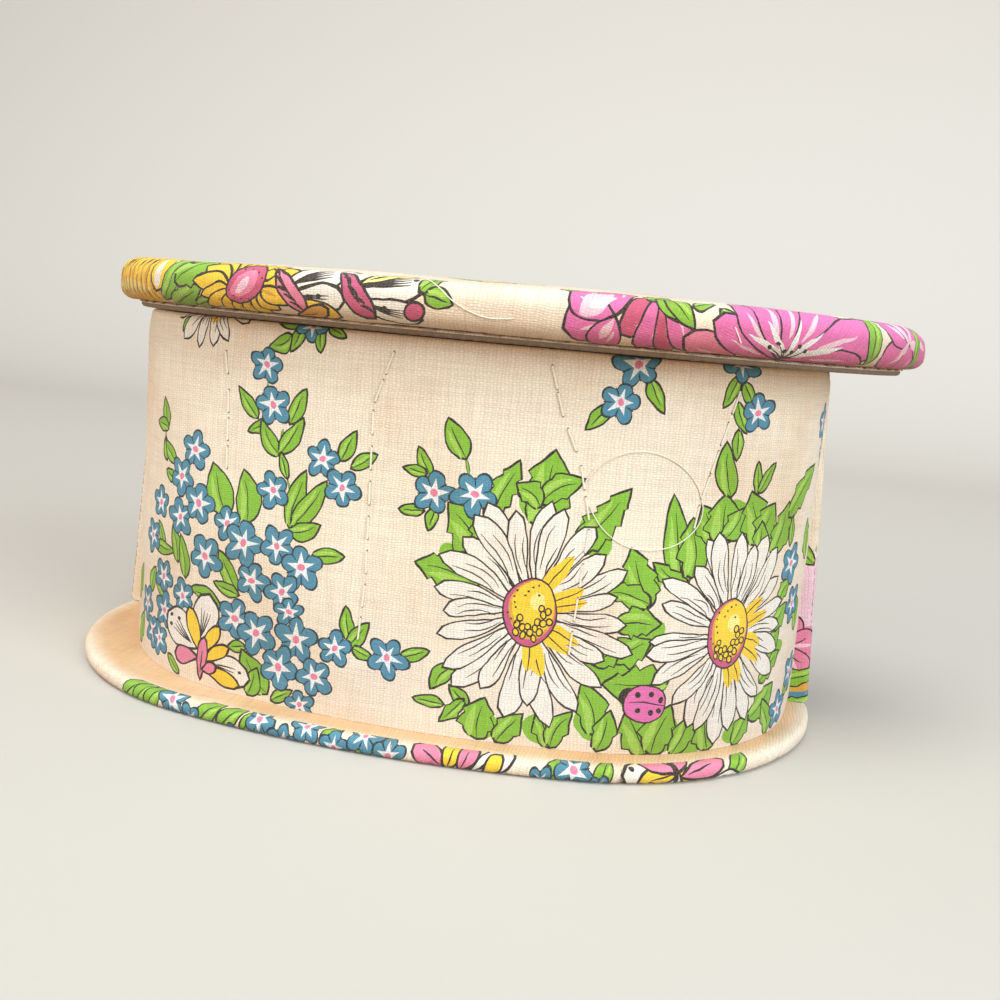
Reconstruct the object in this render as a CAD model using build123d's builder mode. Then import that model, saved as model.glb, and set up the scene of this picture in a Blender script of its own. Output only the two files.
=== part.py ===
from build123d import *
import os
from math import atan2, cos, degrees, hypot, radians, sin

# A card trinket box in sewn printed cloth: a D-shaped base board, a bowed front wall,
# a flat back panel that is as wide as the base, and a padded lid on a cloth hinge.
# Millimetres. X is to the right, -Y is the bowed front, +Z is up.
# The origin is in the middle of the flat underside.

# Cloth and boards
cloth = 0.3
fit_gap = 0.05
cloth_edge_gap = 0.6
hem = 7.0

# Base
base_width = 143.0
base_depth = 55.0
base_bow_radius = 160.0
base_board_thickness = 2.1
base_edge_radius = 1.1
side_run = 5.0
back_corner_radius = 2.5

# Front wall
body_width = 128.0
body_depth = 48.5
body_bow_radius = 140.0
body_shift = 3.0
wall_height = 63.2
wall_card_thickness = 1.6
wall_wadding_thickness = 0.8

# Back panel, narrower at the top than at the foot
back_top_width = 135.0
back_card_thickness = 1.9
back_top_radius = 2.0

# Inner floor
floor_card_thickness = 1.0
floor_wadding_thickness = 1.0
floor_clearance = 0.4

# Lid
lid_width = 148.0
lid_depth = 57.5
lid_bow_radius = 165.0
lid_shift = 8.2
lid_thickness = 8.4
lid_crown = 1.6
lid_board_thickness = 1.9
lid_top_radius = 3.2
lid_bottom_radius = 2.2
lid_back_radius = 3.6
lid_hem = 10.0
lid_rest_gap = 0.3
liner_card_thickness = 0.6
liner_inset = 3.5
liner_back_inset = 13.0

# Cloth hinge
hinge_width = 112.0
hinge_back_leaf = 11.0
hinge_lid_leaf = 9.5
hinge_axis_rise = 0.6
hinge_axis_gap = 0.45

# Sewing thread
thread = 0.3
stitch_length = 1.7
stitch_pitch = 5.0
quilting_pitch = 5.5
quilting_stitch_length = 3.6

# Heights
base_thickness = base_board_thickness + 2 * cloth
body_foot = base_thickness + fit_gap
rim = body_foot + wall_height
liner_low = rim + lid_rest_gap
liner_thickness = liner_card_thickness + 2 * cloth
lid_low = liner_low + liner_thickness + fit_gap
lid_high = lid_low + lid_thickness
board_low = lid_low + cloth + fit_gap
board_high = board_low + lid_board_thickness

# Plan
rear = base_depth / 2
back_thickness = back_card_thickness + 2 * cloth
panel_face = rear - back_thickness
wall_thickness = 2 * cloth + wall_wadding_thickness + wall_card_thickness
wadding_inset = cloth
card_inset = wadding_inset + wall_wadding_thickness
lining_inset = card_inset + wall_card_thickness
hinge_axis_y = rear + hinge_axis_gap
hinge_axis_z = rim + hinge_axis_rise
hinge_x = (body_shift + lid_shift) / 2

BASE = (base_width / 2, base_depth, base_bow_radius)
BODY = (body_width / 2, body_depth, body_bow_radius)
LID = (lid_width / 2, lid_depth, lid_bow_radius)


def bow_geometry(half_width, depth, bow_radius):
    """The D's corner radius, corner centre x, bow centre y and half the bow's angle."""
    rise = depth - side_run
    corner = (2 * bow_radius * rise - half_width**2 - rise**2) / (2 * (bow_radius - half_width))
    corner_x = half_width - corner
    bow_y = rear - depth + bow_radius
    half_turn = degrees(atan2(corner_x, bow_y - (rear - side_run)))
    return corner, corner_x, bow_y, half_turn


def d_plate(plan, low, high, inset=0.0, back=None, shift=0.0, mode=Mode.ADD):
    """Joins a D-shaped plate to the part in use: bowed front, tangent corners, straight back at y = back."""
    half_width, depth, bow_radius = plan
    corner, corner_x, bow_y, half_turn = bow_geometry(half_width, depth, bow_radius)
    corner_y = rear - side_run
    half = half_width - inset
    behind = rear + depth
    straight = rear if back is None else back
    with BuildSketch(Plane.XY.offset(low)) as outline:
        with BuildLine():
            CenterArc((shift, bow_y), bow_radius - inset, -90 - half_turn, 2 * half_turn)
            CenterArc((shift + corner_x, corner_y), corner - inset, -90 + half_turn, 90 - half_turn)
            Polyline(
                (shift + half, corner_y),
                (shift + half, behind),
                (shift - half, behind),
                (shift - half, corner_y),
            )
            CenterArc((shift - corner_x, corner_y), corner - inset, 180, 90 - half_turn)
        make_face()
        with Locations((shift, straight)):
            Rectangle(4 * half_width, 4 * depth, align=(Align.CENTER, Align.MIN), mode=Mode.SUBTRACT)
    extrude(outline.sketch, amount=high - low, mode=mode)


def round_back_corners(radius):
    """Rounds the two upright edges at the ends of the straight back."""
    upright = edges().filter_by(Axis.Z).group_by(Axis.Y)[-1]
    fillet(upright, radius)


def wall_ring(low, high, outer, inner):
    """A strip of the front wall between two insets, open at the back."""
    d_plate(BODY, low, high, outer, panel_face - fit_gap, body_shift)
    d_plate(BODY, low, high, inner, rear + fit_gap, body_shift, Mode.SUBTRACT)


def along_front(plan, run, inset=0.0, shift=0.0):
    """Plan point and facing angle at a run along the D's outline from the middle of its front."""
    half_width, depth, bow_radius = plan
    corner, corner_x, bow_y, half_turn = bow_geometry(half_width, depth, bow_radius)
    side = 1 if run >= 0 else -1
    bow_run = radians(half_turn) * bow_radius
    if abs(run) <= bow_run:
        turn = abs(run) / bow_radius
        radius = bow_radius - inset
        centre = (0.0, bow_y)
    else:
        turn = min(radians(half_turn) + (abs(run) - bow_run) / corner, radians(90))
        radius = corner - inset
        centre = (corner_x, rear - side_run)
    x = side * (centre[0] + radius * sin(turn)) + shift
    y = centre[1] - radius * cos(turn)
    return x, y, side * degrees(turn)


def front_run(plan):
    """Length of the outline from the middle of the front to where the side turns straight."""
    half_width, depth, bow_radius = plan
    corner, _, _, half_turn = bow_geometry(half_width, depth, bow_radius)
    return radians(half_turn) * bow_radius + radians(90 - half_turn) * corner


def stitch_rod(length):
    """One stitch: a short straight piece of thread along its place's Z axis."""
    Cylinder(thread / 2, length)


def lying_stitch(x, y, z, facing=0.0):
    """Place of a stitch that lies level along an outline that faces outwards at an angle."""
    return Location((x, y, z), (0, 0, facing)) * Location((0, 0, 0), (0, 90, 0))


def hinge_stitch_places(y, z):
    """Places of one level row of stitches along the cloth hinge."""
    count = int(hinge_width / stitch_pitch) - 1
    first = hinge_x - (count - 1) * stitch_pitch / 2
    return [lying_stitch(first + i * stitch_pitch, y, z) for i in range(count)]


# Base: stiff card in printed cloth, with a plain cloth sewn over the turnings
def base_form(inset):
    """The base's form at an inset: a D-shaped board with softened edges."""
    d_plate(BASE, inset, base_thickness - inset, inset, rear - inset)
    round_back_corners(back_corner_radius - inset)
    fillet(edges().group_by(Axis.Z)[0] + edges().group_by(Axis.Z)[-1], base_edge_radius - inset)


with BuildPart() as base_board:
    base_form(cloth + fit_gap)

with BuildPart() as base_filling:
    base_form(cloth)

with BuildPart() as base_cover:
    base_form(0)
    add(base_filling.part, mode=Mode.SUBTRACT)
    d_plate(BASE, 0, cloth, hem, rear - hem, 0.0, Mode.SUBTRACT)

with BuildPart() as base_underside:
    underside_inset = hem + cloth_edge_gap
    d_plate(BASE, 0, cloth - fit_gap, underside_inset, rear - underside_inset)

with BuildPart() as underside_stitches:
    seam = hem + cloth_edge_gap / 2
    run = stitch_pitch / 2
    places = []
    while run < front_run(BASE):
        for side in (-1, 1):
            x, y, facing = along_front(BASE, side * run, seam)
            if y < rear - seam - stitch_length:
                places.append(lying_stitch(x, y, thread / 2, facing))
            if run < base_width / 2 - seam - stitch_length:
                places.append(lying_stitch(side * run, rear - seam, thread / 2))
        run += stitch_pitch
    with Locations(*places):
        stitch_rod(stitch_length)

# Front wall: card bent round the bow, thin wadding, printed cloth outside, plain cloth inside
with BuildPart() as wall_card:
    wall_ring(body_foot, rim - cloth - fit_gap, card_inset + fit_gap, lining_inset - fit_gap)

with BuildPart() as wall_wadding:
    wall_ring(body_foot, rim - cloth - fit_gap, wadding_inset + fit_gap, card_inset)

with BuildPart() as wall_cover:
    wall_ring(body_foot, rim - cloth, 0, wadding_inset)
    wall_ring(rim - cloth, rim, 0, lining_inset)

with BuildPart() as wall_lining:
    wall_ring(body_foot, rim - cloth - fit_gap, lining_inset, wall_thickness)

with BuildPart() as rim_stitches:
    seam = wall_thickness + thread / 2 + fit_gap
    run = 0.0
    places = []
    while run < front_run(BODY):
        for side in (-1, 1) if run else (1,):
            x, y, facing = along_front(BODY, side * run, seam, body_shift)
            places.append(Location((x, y, rim - stitch_length), (0, 0, facing)))
        run += stitch_pitch
    with Locations(*places):
        stitch_rod(stitch_length)

# Back panel: a card that stands on the base's straight edge, its edges free past the wall
with BuildPart() as back_card:
    with BuildSketch(Plane.XZ.offset(-(rear - cloth - fit_gap))):
        with BuildLine():
            Polyline(
                (-(base_width / 2 - cloth - fit_gap), body_foot + cloth + fit_gap),
                (base_width / 2 - cloth - fit_gap, body_foot + cloth + fit_gap),
                (back_top_width / 2 - cloth - fit_gap, rim - cloth - fit_gap),
                (-(back_top_width / 2 - cloth - fit_gap), rim - cloth - fit_gap),
                close=True,
            )
        make_face()
        fillet(vertices().group_by(Axis.Y)[-1], back_top_radius)
    extrude(amount=back_card_thickness - 2 * fit_gap)

with BuildPart() as back_cover:
    with BuildSketch(Plane.XZ.offset(-rear)):
        with BuildLine():
            Polyline(
                (-base_width / 2, body_foot),
                (base_width / 2, body_foot),
                (back_top_width / 2, rim),
                (-back_top_width / 2, rim),
                close=True,
            )
        make_face()
        fillet(vertices().group_by(Axis.Y)[-1], back_top_radius + cloth)
    extrude(amount=back_thickness)
    with BuildSketch(Plane.XZ.offset(-(rear - cloth))):
        with BuildLine():
            Polyline(
                (-(base_width / 2 - cloth), body_foot + cloth),
                (base_width / 2 - cloth, body_foot + cloth),
                (back_top_width / 2 - cloth, rim - cloth),
                (-(back_top_width / 2 - cloth), rim - cloth),
                close=True,
            )
        make_face()
        fillet(vertices().group_by(Axis.Y)[-1], back_top_radius)
    extrude(amount=back_card_thickness, mode=Mode.SUBTRACT)
    lined_width = body_width - 2 * wall_thickness
    with BuildSketch(Plane.XZ.offset(-(rear - back_thickness / 2))):
        with Locations((body_shift, (body_foot + rim) / 2)):
            Rectangle(lined_width, wall_height - 2 * cloth)
    extrude(amount=back_thickness, mode=Mode.SUBTRACT)

with BuildPart() as back_lining:
    with BuildSketch(Plane.XZ.offset(-(panel_face + cloth))):
        with Locations((body_shift, (body_foot + rim) / 2)):
            Rectangle(lined_width - 2 * cloth_edge_gap, wall_height - 2 * cloth - 2 * cloth_edge_gap)
    extrude(amount=cloth)

with BuildPart() as side_seam_stitches:
    places = []
    z = body_foot + stitch_pitch
    while z < rim - stitch_pitch:
        for side in (-1, 1):
            x = body_shift + side * (body_width / 2 + thread / 2 + fit_gap)
            places.append(Location((x, panel_face - stitch_length / 2 - fit_gap, z), (90, 0, 0)))
        z += stitch_pitch
    with Locations(*places):
        stitch_rod(stitch_length)

# Quilting: rows of running stitches through the printed cloth and the wadding.
# Each row follows points, as (run along the front, rise above the body's foot).
QUILTING_ROWS = (
    ((-34.9, 60.0), (-33.5, 52.0), (-33.1, 38.0)),
    ((-3.9, 61.0), (-6.8, 52.0), (-6.1, 24.0), (-6.7, 13.0)),
    ((20.5, 61.0), (23.1, 53.0), (26.3, 46.5), (28.7, 37.0), (27.5, 15.0)),
    ((51.0, 60.0), (48.3, 50.0), (46.1, 42.0), (45.3, 36.5)),
)

with BuildPart() as quilting_stitches:
    places = []
    proud = thread / 2 + fit_gap + quilting_stitch_length**2 / (8 * body_bow_radius)
    for row in QUILTING_ROWS:
        for (start_run, start_rise), (end_run, end_rise) in zip(row, row[1:]):
            count = max(1, round(hypot(end_run - start_run, end_rise - start_rise) / quilting_pitch))
            lean = degrees(atan2(end_run - start_run, start_rise - end_rise))
            for i in range(count):
                t = (i + 0.5) / count
                z = body_foot + start_rise + (end_rise - start_rise) * t
                x, y, facing = along_front(BODY, start_run + (end_run - start_run) * t, -proud, body_shift)
                places.append(Location((x, y, z), (0, 0, facing)) * Location((0, 0, 0), (0, -lean, 0)))
    with Locations(*places):
        stitch_rod(quilting_stitch_length)

# Inner floor: a loose card with wadding, in plain cloth
floor_low = body_foot
floor_inset = wall_thickness + floor_clearance
floor_back = panel_face - floor_clearance
lining_low = floor_low + floor_card_thickness + fit_gap

with BuildPart() as floor_card:
    d_plate(BODY, floor_low, floor_low + floor_card_thickness, floor_inset + cloth, floor_back - cloth, body_shift)

with BuildPart() as floor_wadding:
    wadding_high = lining_low + floor_wadding_thickness
    d_plate(BODY, lining_low, wadding_high, floor_inset + cloth, floor_back - cloth, body_shift)

with BuildPart() as floor_lining:
    cover_high = wadding_high + fit_gap + cloth
    d_plate(BODY, floor_low, cover_high, floor_inset, floor_back, body_shift)
    pocket_inset = floor_inset + cloth - fit_gap
    pocket_back = floor_back - cloth + fit_gap
    d_plate(BODY, floor_low, wadding_high + fit_gap, pocket_inset, pocket_back, body_shift, Mode.SUBTRACT)


def crown_profile(high):
    """Solid under the lid's crown: an arc from front to back, swung about a far axis across it."""
    across = lid_depth / 2
    along = lid_width / 2
    across_radius = (across**2 + lid_crown**2) / (2 * lid_crown)
    along_radius = (along**2 + lid_crown**2) / (2 * lid_crown)
    middle = rear - across
    edge = high - across_radius + (across_radius**2 - lid_depth**2) ** 0.5
    with BuildSketch(Plane.YZ.offset(lid_shift)) as profile:
        with BuildLine():
            ThreePointArc((middle - lid_depth, edge), (middle, high), (middle + lid_depth, edge))
            Polyline(
                (middle + lid_depth, edge),
                (middle + lid_depth, body_foot),
                (middle - lid_depth, body_foot),
                (middle - lid_depth, edge),
            )
        make_face()
    swing = Axis((lid_shift, 0, high - along_radius), (0, 1, 0))
    revolve(profile.sketch, axis=swing, revolution_arc=360, mode=Mode.INTERSECT)


def lid_form(inset):
    """The lid's soft form at an inset: rounded edges all round under a gentle crown."""
    d_plate(LID, lid_low + inset, lid_high, inset, rear - inset, lid_shift)
    round_back_corners(lid_back_radius - inset)
    crown_profile(lid_high - inset)
    fillet(edges().group_by(Axis.Z)[0], lid_bottom_radius - inset)
    fillet(edges().group_by(Axis.Z)[-1], lid_top_radius - inset)


# Lid: board, soft pad and printed cloth, turned under the board
with BuildPart() as lid_filling:
    lid_form(cloth)

with BuildPart() as lid_cover:
    lid_form(0)
    add(lid_filling.part, mode=Mode.SUBTRACT)
    d_plate(LID, lid_low, lid_low + cloth, lid_hem, rear - lid_hem, lid_shift, Mode.SUBTRACT)

board_inset = cloth + lid_bottom_radius
with BuildPart() as lid_board:
    d_plate(LID, board_low, board_high, board_inset, rear - board_inset, lid_shift)
    round_back_corners(lid_back_radius - board_inset)

with BuildPart() as lid_pad:
    lid_form(cloth + fit_gap)
    pocket = board_inset - fit_gap
    d_plate(LID, lid_low, board_high + fit_gap, pocket, rear - pocket, lid_shift, Mode.SUBTRACT)

# Lid liner: thin card in plain cloth that closes the lid's underside and rests on the rim
with BuildPart() as lid_liner_card:
    card_edge = liner_inset + cloth + fit_gap
    card_back = rear - liner_back_inset - cloth - fit_gap
    card_low = liner_low + cloth + fit_gap
    d_plate(LID, card_low, card_low + liner_card_thickness - 2 * fit_gap, card_edge, card_back, lid_shift)

with BuildPart() as lid_liner:
    liner_high = liner_low + liner_thickness
    d_plate(LID, liner_low, liner_high, liner_inset, rear - liner_back_inset, lid_shift)
    fold = liner_inset + cloth
    fold_back = rear - liner_back_inset - cloth
    d_plate(LID, liner_low + cloth, liner_high - cloth, fold, fold_back, lid_shift, Mode.SUBTRACT)
    turning = liner_inset + hem
    turning_back = rear - liner_back_inset - hem
    d_plate(LID, liner_high - cloth, liner_high, turning, turning_back, lid_shift, Mode.SUBTRACT)

with BuildPart() as lid_stitches:
    seam = liner_inset - thread / 2 - fit_gap
    run = stitch_pitch / 2
    places = []
    while run < front_run(LID):
        for side in (-1, 1):
            x, y, facing = along_front(LID, side * run, seam, lid_shift)
            if y < rear - liner_back_inset:
                places.append(lying_stitch(x, y, lid_low - fit_gap - thread / 2, facing))
        run += stitch_pitch
    with Locations(*places):
        stitch_rod(stitch_length)

# Cloth hinge: one strip of plain cloth, drawn as a leaf on the back panel and a leaf under the lid
with BuildPart() as hinge_cloth_back:
    with BuildSketch(Plane.XZ.offset(-(rear + fit_gap + cloth))):
        with Locations((hinge_x, hinge_axis_z - cloth)):
            Rectangle(hinge_width, hinge_back_leaf, align=(Align.CENTER, Align.MAX))
    extrude(amount=cloth)

with BuildPart() as hinge_cloth_lid:
    leaf_low = lid_low - fit_gap - cloth
    with BuildSketch(Plane.XY.offset(leaf_low)):
        with Locations((hinge_x, rear + fit_gap)):
            Rectangle(hinge_width, hinge_lid_leaf, align=(Align.CENTER, Align.MAX))
    extrude(amount=cloth)

with BuildPart() as hinge_stitches_back:
    row_z = hinge_axis_z - cloth - hinge_back_leaf + stitch_length
    row_y = rear + 2 * fit_gap + cloth + thread / 2
    with Locations(*hinge_stitch_places(row_y, row_z)):
        stitch_rod(stitch_length)

with BuildPart() as hinge_stitches_lid:
    row_y = rear + fit_gap - hinge_lid_leaf + stitch_length
    row_z = leaf_low - fit_gap - thread / 2
    with Locations(*hinge_stitch_places(row_y, row_z)):
        stitch_rod(stitch_length)

PIECES = {
    "base_board": base_board,
    "base_cover": base_cover,
    "base_underside": base_underside,
    "underside_stitches": underside_stitches,
    "wall_card": wall_card,
    "wall_wadding": wall_wadding,
    "wall_cover": wall_cover,
    "wall_lining": wall_lining,
    "rim_stitches": rim_stitches,
    "quilting_stitches": quilting_stitches,
    "side_seam_stitches": side_seam_stitches,
    "back_card": back_card,
    "back_cover": back_cover,
    "back_lining": back_lining,
    "floor_card": floor_card,
    "floor_wadding": floor_wadding,
    "floor_lining": floor_lining,
    "lid_board": lid_board,
    "lid_pad": lid_pad,
    "lid_cover": lid_cover,
    "lid_liner_card": lid_liner_card,
    "lid_liner": lid_liner,
    "lid_stitches": lid_stitches,
    "hinge_cloth_back": hinge_cloth_back,
    "hinge_cloth_lid": hinge_cloth_lid,
    "hinge_stitches_back": hinge_stitches_back,
    "hinge_stitches_lid": hinge_stitches_lid,
}

os.makedirs("parts", exist_ok=True)
for name, piece in PIECES.items():
    piece.part.label = name
    export_step(piece.part, f"parts/{name}.step")
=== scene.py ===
from math import atan2, cos, degrees, hypot, pi, radians, sin, sqrt
from random import Random

import bpy
import numpy
from mathutils import Matrix, Vector, noise
from mathutils.geometry import delaunay_2d_cdt


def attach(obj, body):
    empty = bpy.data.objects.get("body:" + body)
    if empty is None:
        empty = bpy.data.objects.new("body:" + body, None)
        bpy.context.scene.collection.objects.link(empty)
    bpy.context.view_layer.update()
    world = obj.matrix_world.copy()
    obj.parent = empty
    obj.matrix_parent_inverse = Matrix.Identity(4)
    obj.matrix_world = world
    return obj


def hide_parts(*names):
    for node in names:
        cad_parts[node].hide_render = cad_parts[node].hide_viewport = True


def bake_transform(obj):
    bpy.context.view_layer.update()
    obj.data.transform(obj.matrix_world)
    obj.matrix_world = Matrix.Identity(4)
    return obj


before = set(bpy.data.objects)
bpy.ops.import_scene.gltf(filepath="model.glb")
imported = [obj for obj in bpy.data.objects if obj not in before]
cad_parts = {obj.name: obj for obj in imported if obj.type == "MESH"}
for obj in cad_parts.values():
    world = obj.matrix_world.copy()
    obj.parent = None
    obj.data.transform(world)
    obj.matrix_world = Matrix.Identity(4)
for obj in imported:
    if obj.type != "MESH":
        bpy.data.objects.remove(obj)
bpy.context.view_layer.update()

# Lengths are written in millimetres and turned into metres where a mesh is made.
MM = 0.001

# Driving sizes, as in the part's source
CLOTH = 0.3
REAR = 27.5
SIDE_RUN = 5.0
BASE = (71.5, 55.0, 160.0)
BODY = (64.0, 48.5, 140.0)
LID = (74.0, 57.5, 165.0)
BODY_SHIFT = 3.0
LID_SHIFT = 8.2
BASE_THICKNESS = 2.7
BASE_EDGE_RADIUS = 1.1
BASE_BACK_RADIUS = 2.5
FOOT = 2.75
RIM = 65.95
PANEL_FACE = 25.0
PANEL_HALF_FOOT = 71.5
PANEL_HALF_TOP = 67.5
PANEL_CORNER = 2.3
LID_LOW = 67.5
LID_HIGH = 75.9
LID_CROWN = 1.6
LID_TOP_RADIUS = 3.2
LID_BOTTOM_RADIUS = 2.2
LID_BACK_RADIUS = 3.6
BOARD_HIGH = 69.75
LINER_LOW = 66.25
LINER_THICKNESS = 1.2
LINER_INSET = 3.5
LINER_BACK_INSET = 13.0
HINGE_X = 5.6
HINGE_WIDTH = 112.0
WEAVE = (0.57, 0.36)


# ---- Inks and materials


def linear(red, green, blue):
    """A colour written as it looks, 0 to 255, as the shader's linear values."""
    def channel(value):
        share = value / 255
        return share / 12.92 if share <= 0.04045 else ((share + 0.055) / 1.055) ** 2.4
    return channel(red), channel(green), channel(blue), 1.0


INKS = {
    "cream": linear(244, 230, 208),
    "stain": linear(228, 192, 148),
    # painted shade: a dark brown for the liner's shaded edge and for the hollows where the quilting thread enters
    "painted_shade": linear(134, 112, 90),
    "white": linear(246, 240, 228),
    "line": linear(38, 26, 22),
    "yellow": linear(252, 212, 48),
    "pale_yellow": linear(253, 238, 140),
    "ochre": linear(222, 166, 56),
    "green": linear(132, 190, 46),
    "pale_green": linear(166, 212, 84),
    "deep_green": linear(96, 140, 46),
    "blue": linear(72, 142, 170),
    "pale_blue": linear(130, 186, 204),
    "teal": linear(18, 50, 64),
    "star": linear(242, 246, 246),
    "pink": linear(236, 134, 168),
    "rose": linear(204, 84, 126),
    "magenta": linear(230, 112, 180),
    "pale_pink": linear(246, 206, 224),
}


def new_material(name):
    """A material with its node tree and its main shader."""
    material = bpy.data.materials.new(name)
    material.use_nodes = True
    return material, material.node_tree, material.node_tree.nodes["Principled BSDF"]


def node(tree, kind, **values):
    """A node with its settings and, by socket name, its inputs."""
    made = tree.nodes.new(kind)
    for name, value in values.items():
        if hasattr(made, name):
            setattr(made, name, value)
        else:
            made.inputs[name.replace("_", " ")].default_value = value
    return made


def math_node(tree, operation, first, second=None):
    """A Math node on sockets or plain numbers; returns its output."""
    made = tree.nodes.new("ShaderNodeMath")
    made.operation = operation
    for i, value in enumerate((first, second)):
        if value is None:
            continue
        if isinstance(value, (int, float)):
            made.inputs[i].default_value = value
        else:
            tree.links.new(value, made.inputs[i])
    return made.outputs[0]


def weave_height(tree, warp_pitch, weft_pitch):
    """Height of a plain weave over the cloth's own millimetres, with uneven thread."""
    links = tree.links
    place = node(tree, "ShaderNodeUVMap", uv_map="cloth")
    wobble = node(tree, "ShaderNodeTexNoise", Scale=0.35, Detail=2.0)
    links.new(place.outputs["UV"], wobble.inputs["Vector"])
    moved = node(tree, "ShaderNodeVectorMath", operation="SCALE")
    links.new(wobble.outputs["Color"], moved.inputs[0])
    moved.inputs["Scale"].default_value = 1.1
    shifted = node(tree, "ShaderNodeVectorMath", operation="ADD")
    links.new(place.outputs["UV"], shifted.inputs[0])
    links.new(moved.outputs["Vector"], shifted.inputs[1])
    split = node(tree, "ShaderNodeSeparateXYZ")
    links.new(shifted.outputs["Vector"], split.inputs[0])
    across = math_node(tree, "SINE", math_node(tree, "MULTIPLY", split.outputs["X"], pi / warp_pitch))
    along = math_node(tree, "SINE", math_node(tree, "MULTIPLY", split.outputs["Y"], pi / weft_pitch))
    crossing = math_node(tree, "MULTIPLY", across, along)
    roundness = math_node(tree, "POWER", math_node(tree, "ABSOLUTE", crossing), 0.5)
    return math_node(tree, "ADD", roundness, math_node(tree, "MULTIPLY", crossing, 0.25)), place


def slub(tree, place, stretch):
    """Uneven thickness of the threads that run one way: a noise stretched along them."""
    scaled = node(tree, "ShaderNodeMapping")
    scaled.inputs["Scale"].default_value = stretch
    tree.links.new(place.outputs["UV"], scaled.inputs["Vector"])
    grain = node(tree, "ShaderNodeTexNoise", Scale=1.0, Detail=3.0)
    tree.links.new(scaled.outputs["Vector"], grain.inputs["Vector"])
    return grain.outputs["Fac"]


def tint(tree, blend, factor, first, second):
    """A colour Mix node on sockets or plain values; returns its output."""
    mix = node(tree, "ShaderNodeMix", data_type="RGBA", blend_type=blend)
    for socket, value in ((mix.inputs["Factor"], factor), (mix.inputs[6], first), (mix.inputs[7], second)):
        if isinstance(value, bpy.types.NodeSocket):
            tree.links.new(value, socket)
        else:
            socket.default_value = value
    return mix.outputs[2]


def patches(tree, place, scale, low, high, amount):
    """Soft patches of a noise over the cloth, from 0 to an amount."""
    cloud = node(tree, "ShaderNodeTexNoise", Scale=scale, Detail=5.0, Roughness=0.6)
    tree.links.new(place.outputs["UV"], cloud.inputs["Vector"])
    ramp = node(tree, "ShaderNodeMapRange", interpolation_type="SMOOTHSTEP")
    tree.links.new(cloud.outputs["Fac"], ramp.inputs["Value"])
    for socket, value in (("From Min", low), ("From Max", high), ("To Min", 0.0), ("To Max", amount)):
        ramp.inputs[socket].default_value = value
    return ramp.outputs["Result"]


def cotton(name, colour, printed, stain=0.5, depth=0.55):
    """Woven cotton: its inks or one colour, thread by thread, with a little age and soft sheen."""
    material, tree, shader = new_material(name)
    links = tree.links
    height, place = weave_height(tree, *WEAVE)
    warp = slub(tree, place, (1.7, 0.12, 1.0))
    weft = slub(tree, place, (0.12, 2.2, 1.0))
    threads = math_node(tree, "MULTIPLY", math_node(tree, "ADD", warp, weft), 0.3)
    shade = math_node(tree, "ADD", math_node(tree, "ADD", threads, math_node(tree, "MULTIPLY", height, 0.26)), 0.535)
    ground = INKS[colour]
    if printed:
        ink = node(tree, "ShaderNodeAttribute", attribute_name="ink").outputs["Color"]
        gaps = math_node(tree, "MULTIPLY", math_node(tree, "SUBTRACT", 1.1, height), 0.08)
        bare = math_node(tree, "ADD", gaps, patches(tree, place, 1.6, 0.52, 0.76, 0.1))
        ground = tint(tree, "MIX", bare, ink, ground)
    aged = tint(tree, "MULTIPLY", patches(tree, place, 0.035, 0.42, 0.72, stain), ground, linear(240, 212, 182))
    spotted = tint(tree, "MULTIPLY", patches(tree, place, 0.3, 0.68, 0.76, 0.35), aged, linear(226, 188, 150))
    grey = node(tree, "ShaderNodeCombineColor")
    for channel in range(3):
        links.new(shade, grey.inputs[channel])
    links.new(tint(tree, "MULTIPLY", 1.0, spotted, grey.outputs[0]), shader.inputs["Base Color"])
    roughness = math_node(tree, "SUBTRACT", 1.0, math_node(tree, "MULTIPLY", height, 0.14))
    links.new(roughness, shader.inputs["Roughness"])
    bump = node(tree, "ShaderNodeBump", Strength=depth, Distance=0.00012)
    links.new(height, bump.inputs["Height"])
    links.new(bump.outputs["Normal"], shader.inputs["Normal"])
    shader.inputs["Specular IOR Level"].default_value = 0.25
    shader.inputs["Sheen Weight"].default_value = 0.12
    shader.inputs["Sheen Roughness"].default_value = 0.6
    return material


def fibres(name, colour, dark, scale, roughness, depth):
    """Matted fibres, for card and wadding: one detailed noise between a darker tone and the colour."""
    material, tree, shader = new_material(name)
    place = node(tree, "ShaderNodeTexCoord")
    coarse = node(tree, "ShaderNodeTexNoise", Scale=scale, Detail=8.0, Roughness=0.7)
    tree.links.new(place.outputs["Object"], coarse.inputs["Vector"])
    ramp = node(tree, "ShaderNodeValToRGB")
    ramp.color_ramp.elements[0].position = 0.3
    ramp.color_ramp.elements[0].color = dark
    ramp.color_ramp.elements[1].position = 0.7
    ramp.color_ramp.elements[1].color = colour
    tree.links.new(coarse.outputs["Fac"], ramp.inputs["Fac"])
    tree.links.new(ramp.outputs["Color"], shader.inputs["Base Color"])
    bump = node(tree, "ShaderNodeBump", Strength=depth, Distance=0.0003)
    tree.links.new(coarse.outputs["Fac"], bump.inputs["Height"])
    tree.links.new(bump.outputs["Normal"], shader.inputs["Normal"])
    shader.inputs["Roughness"].default_value = roughness
    return material


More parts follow.
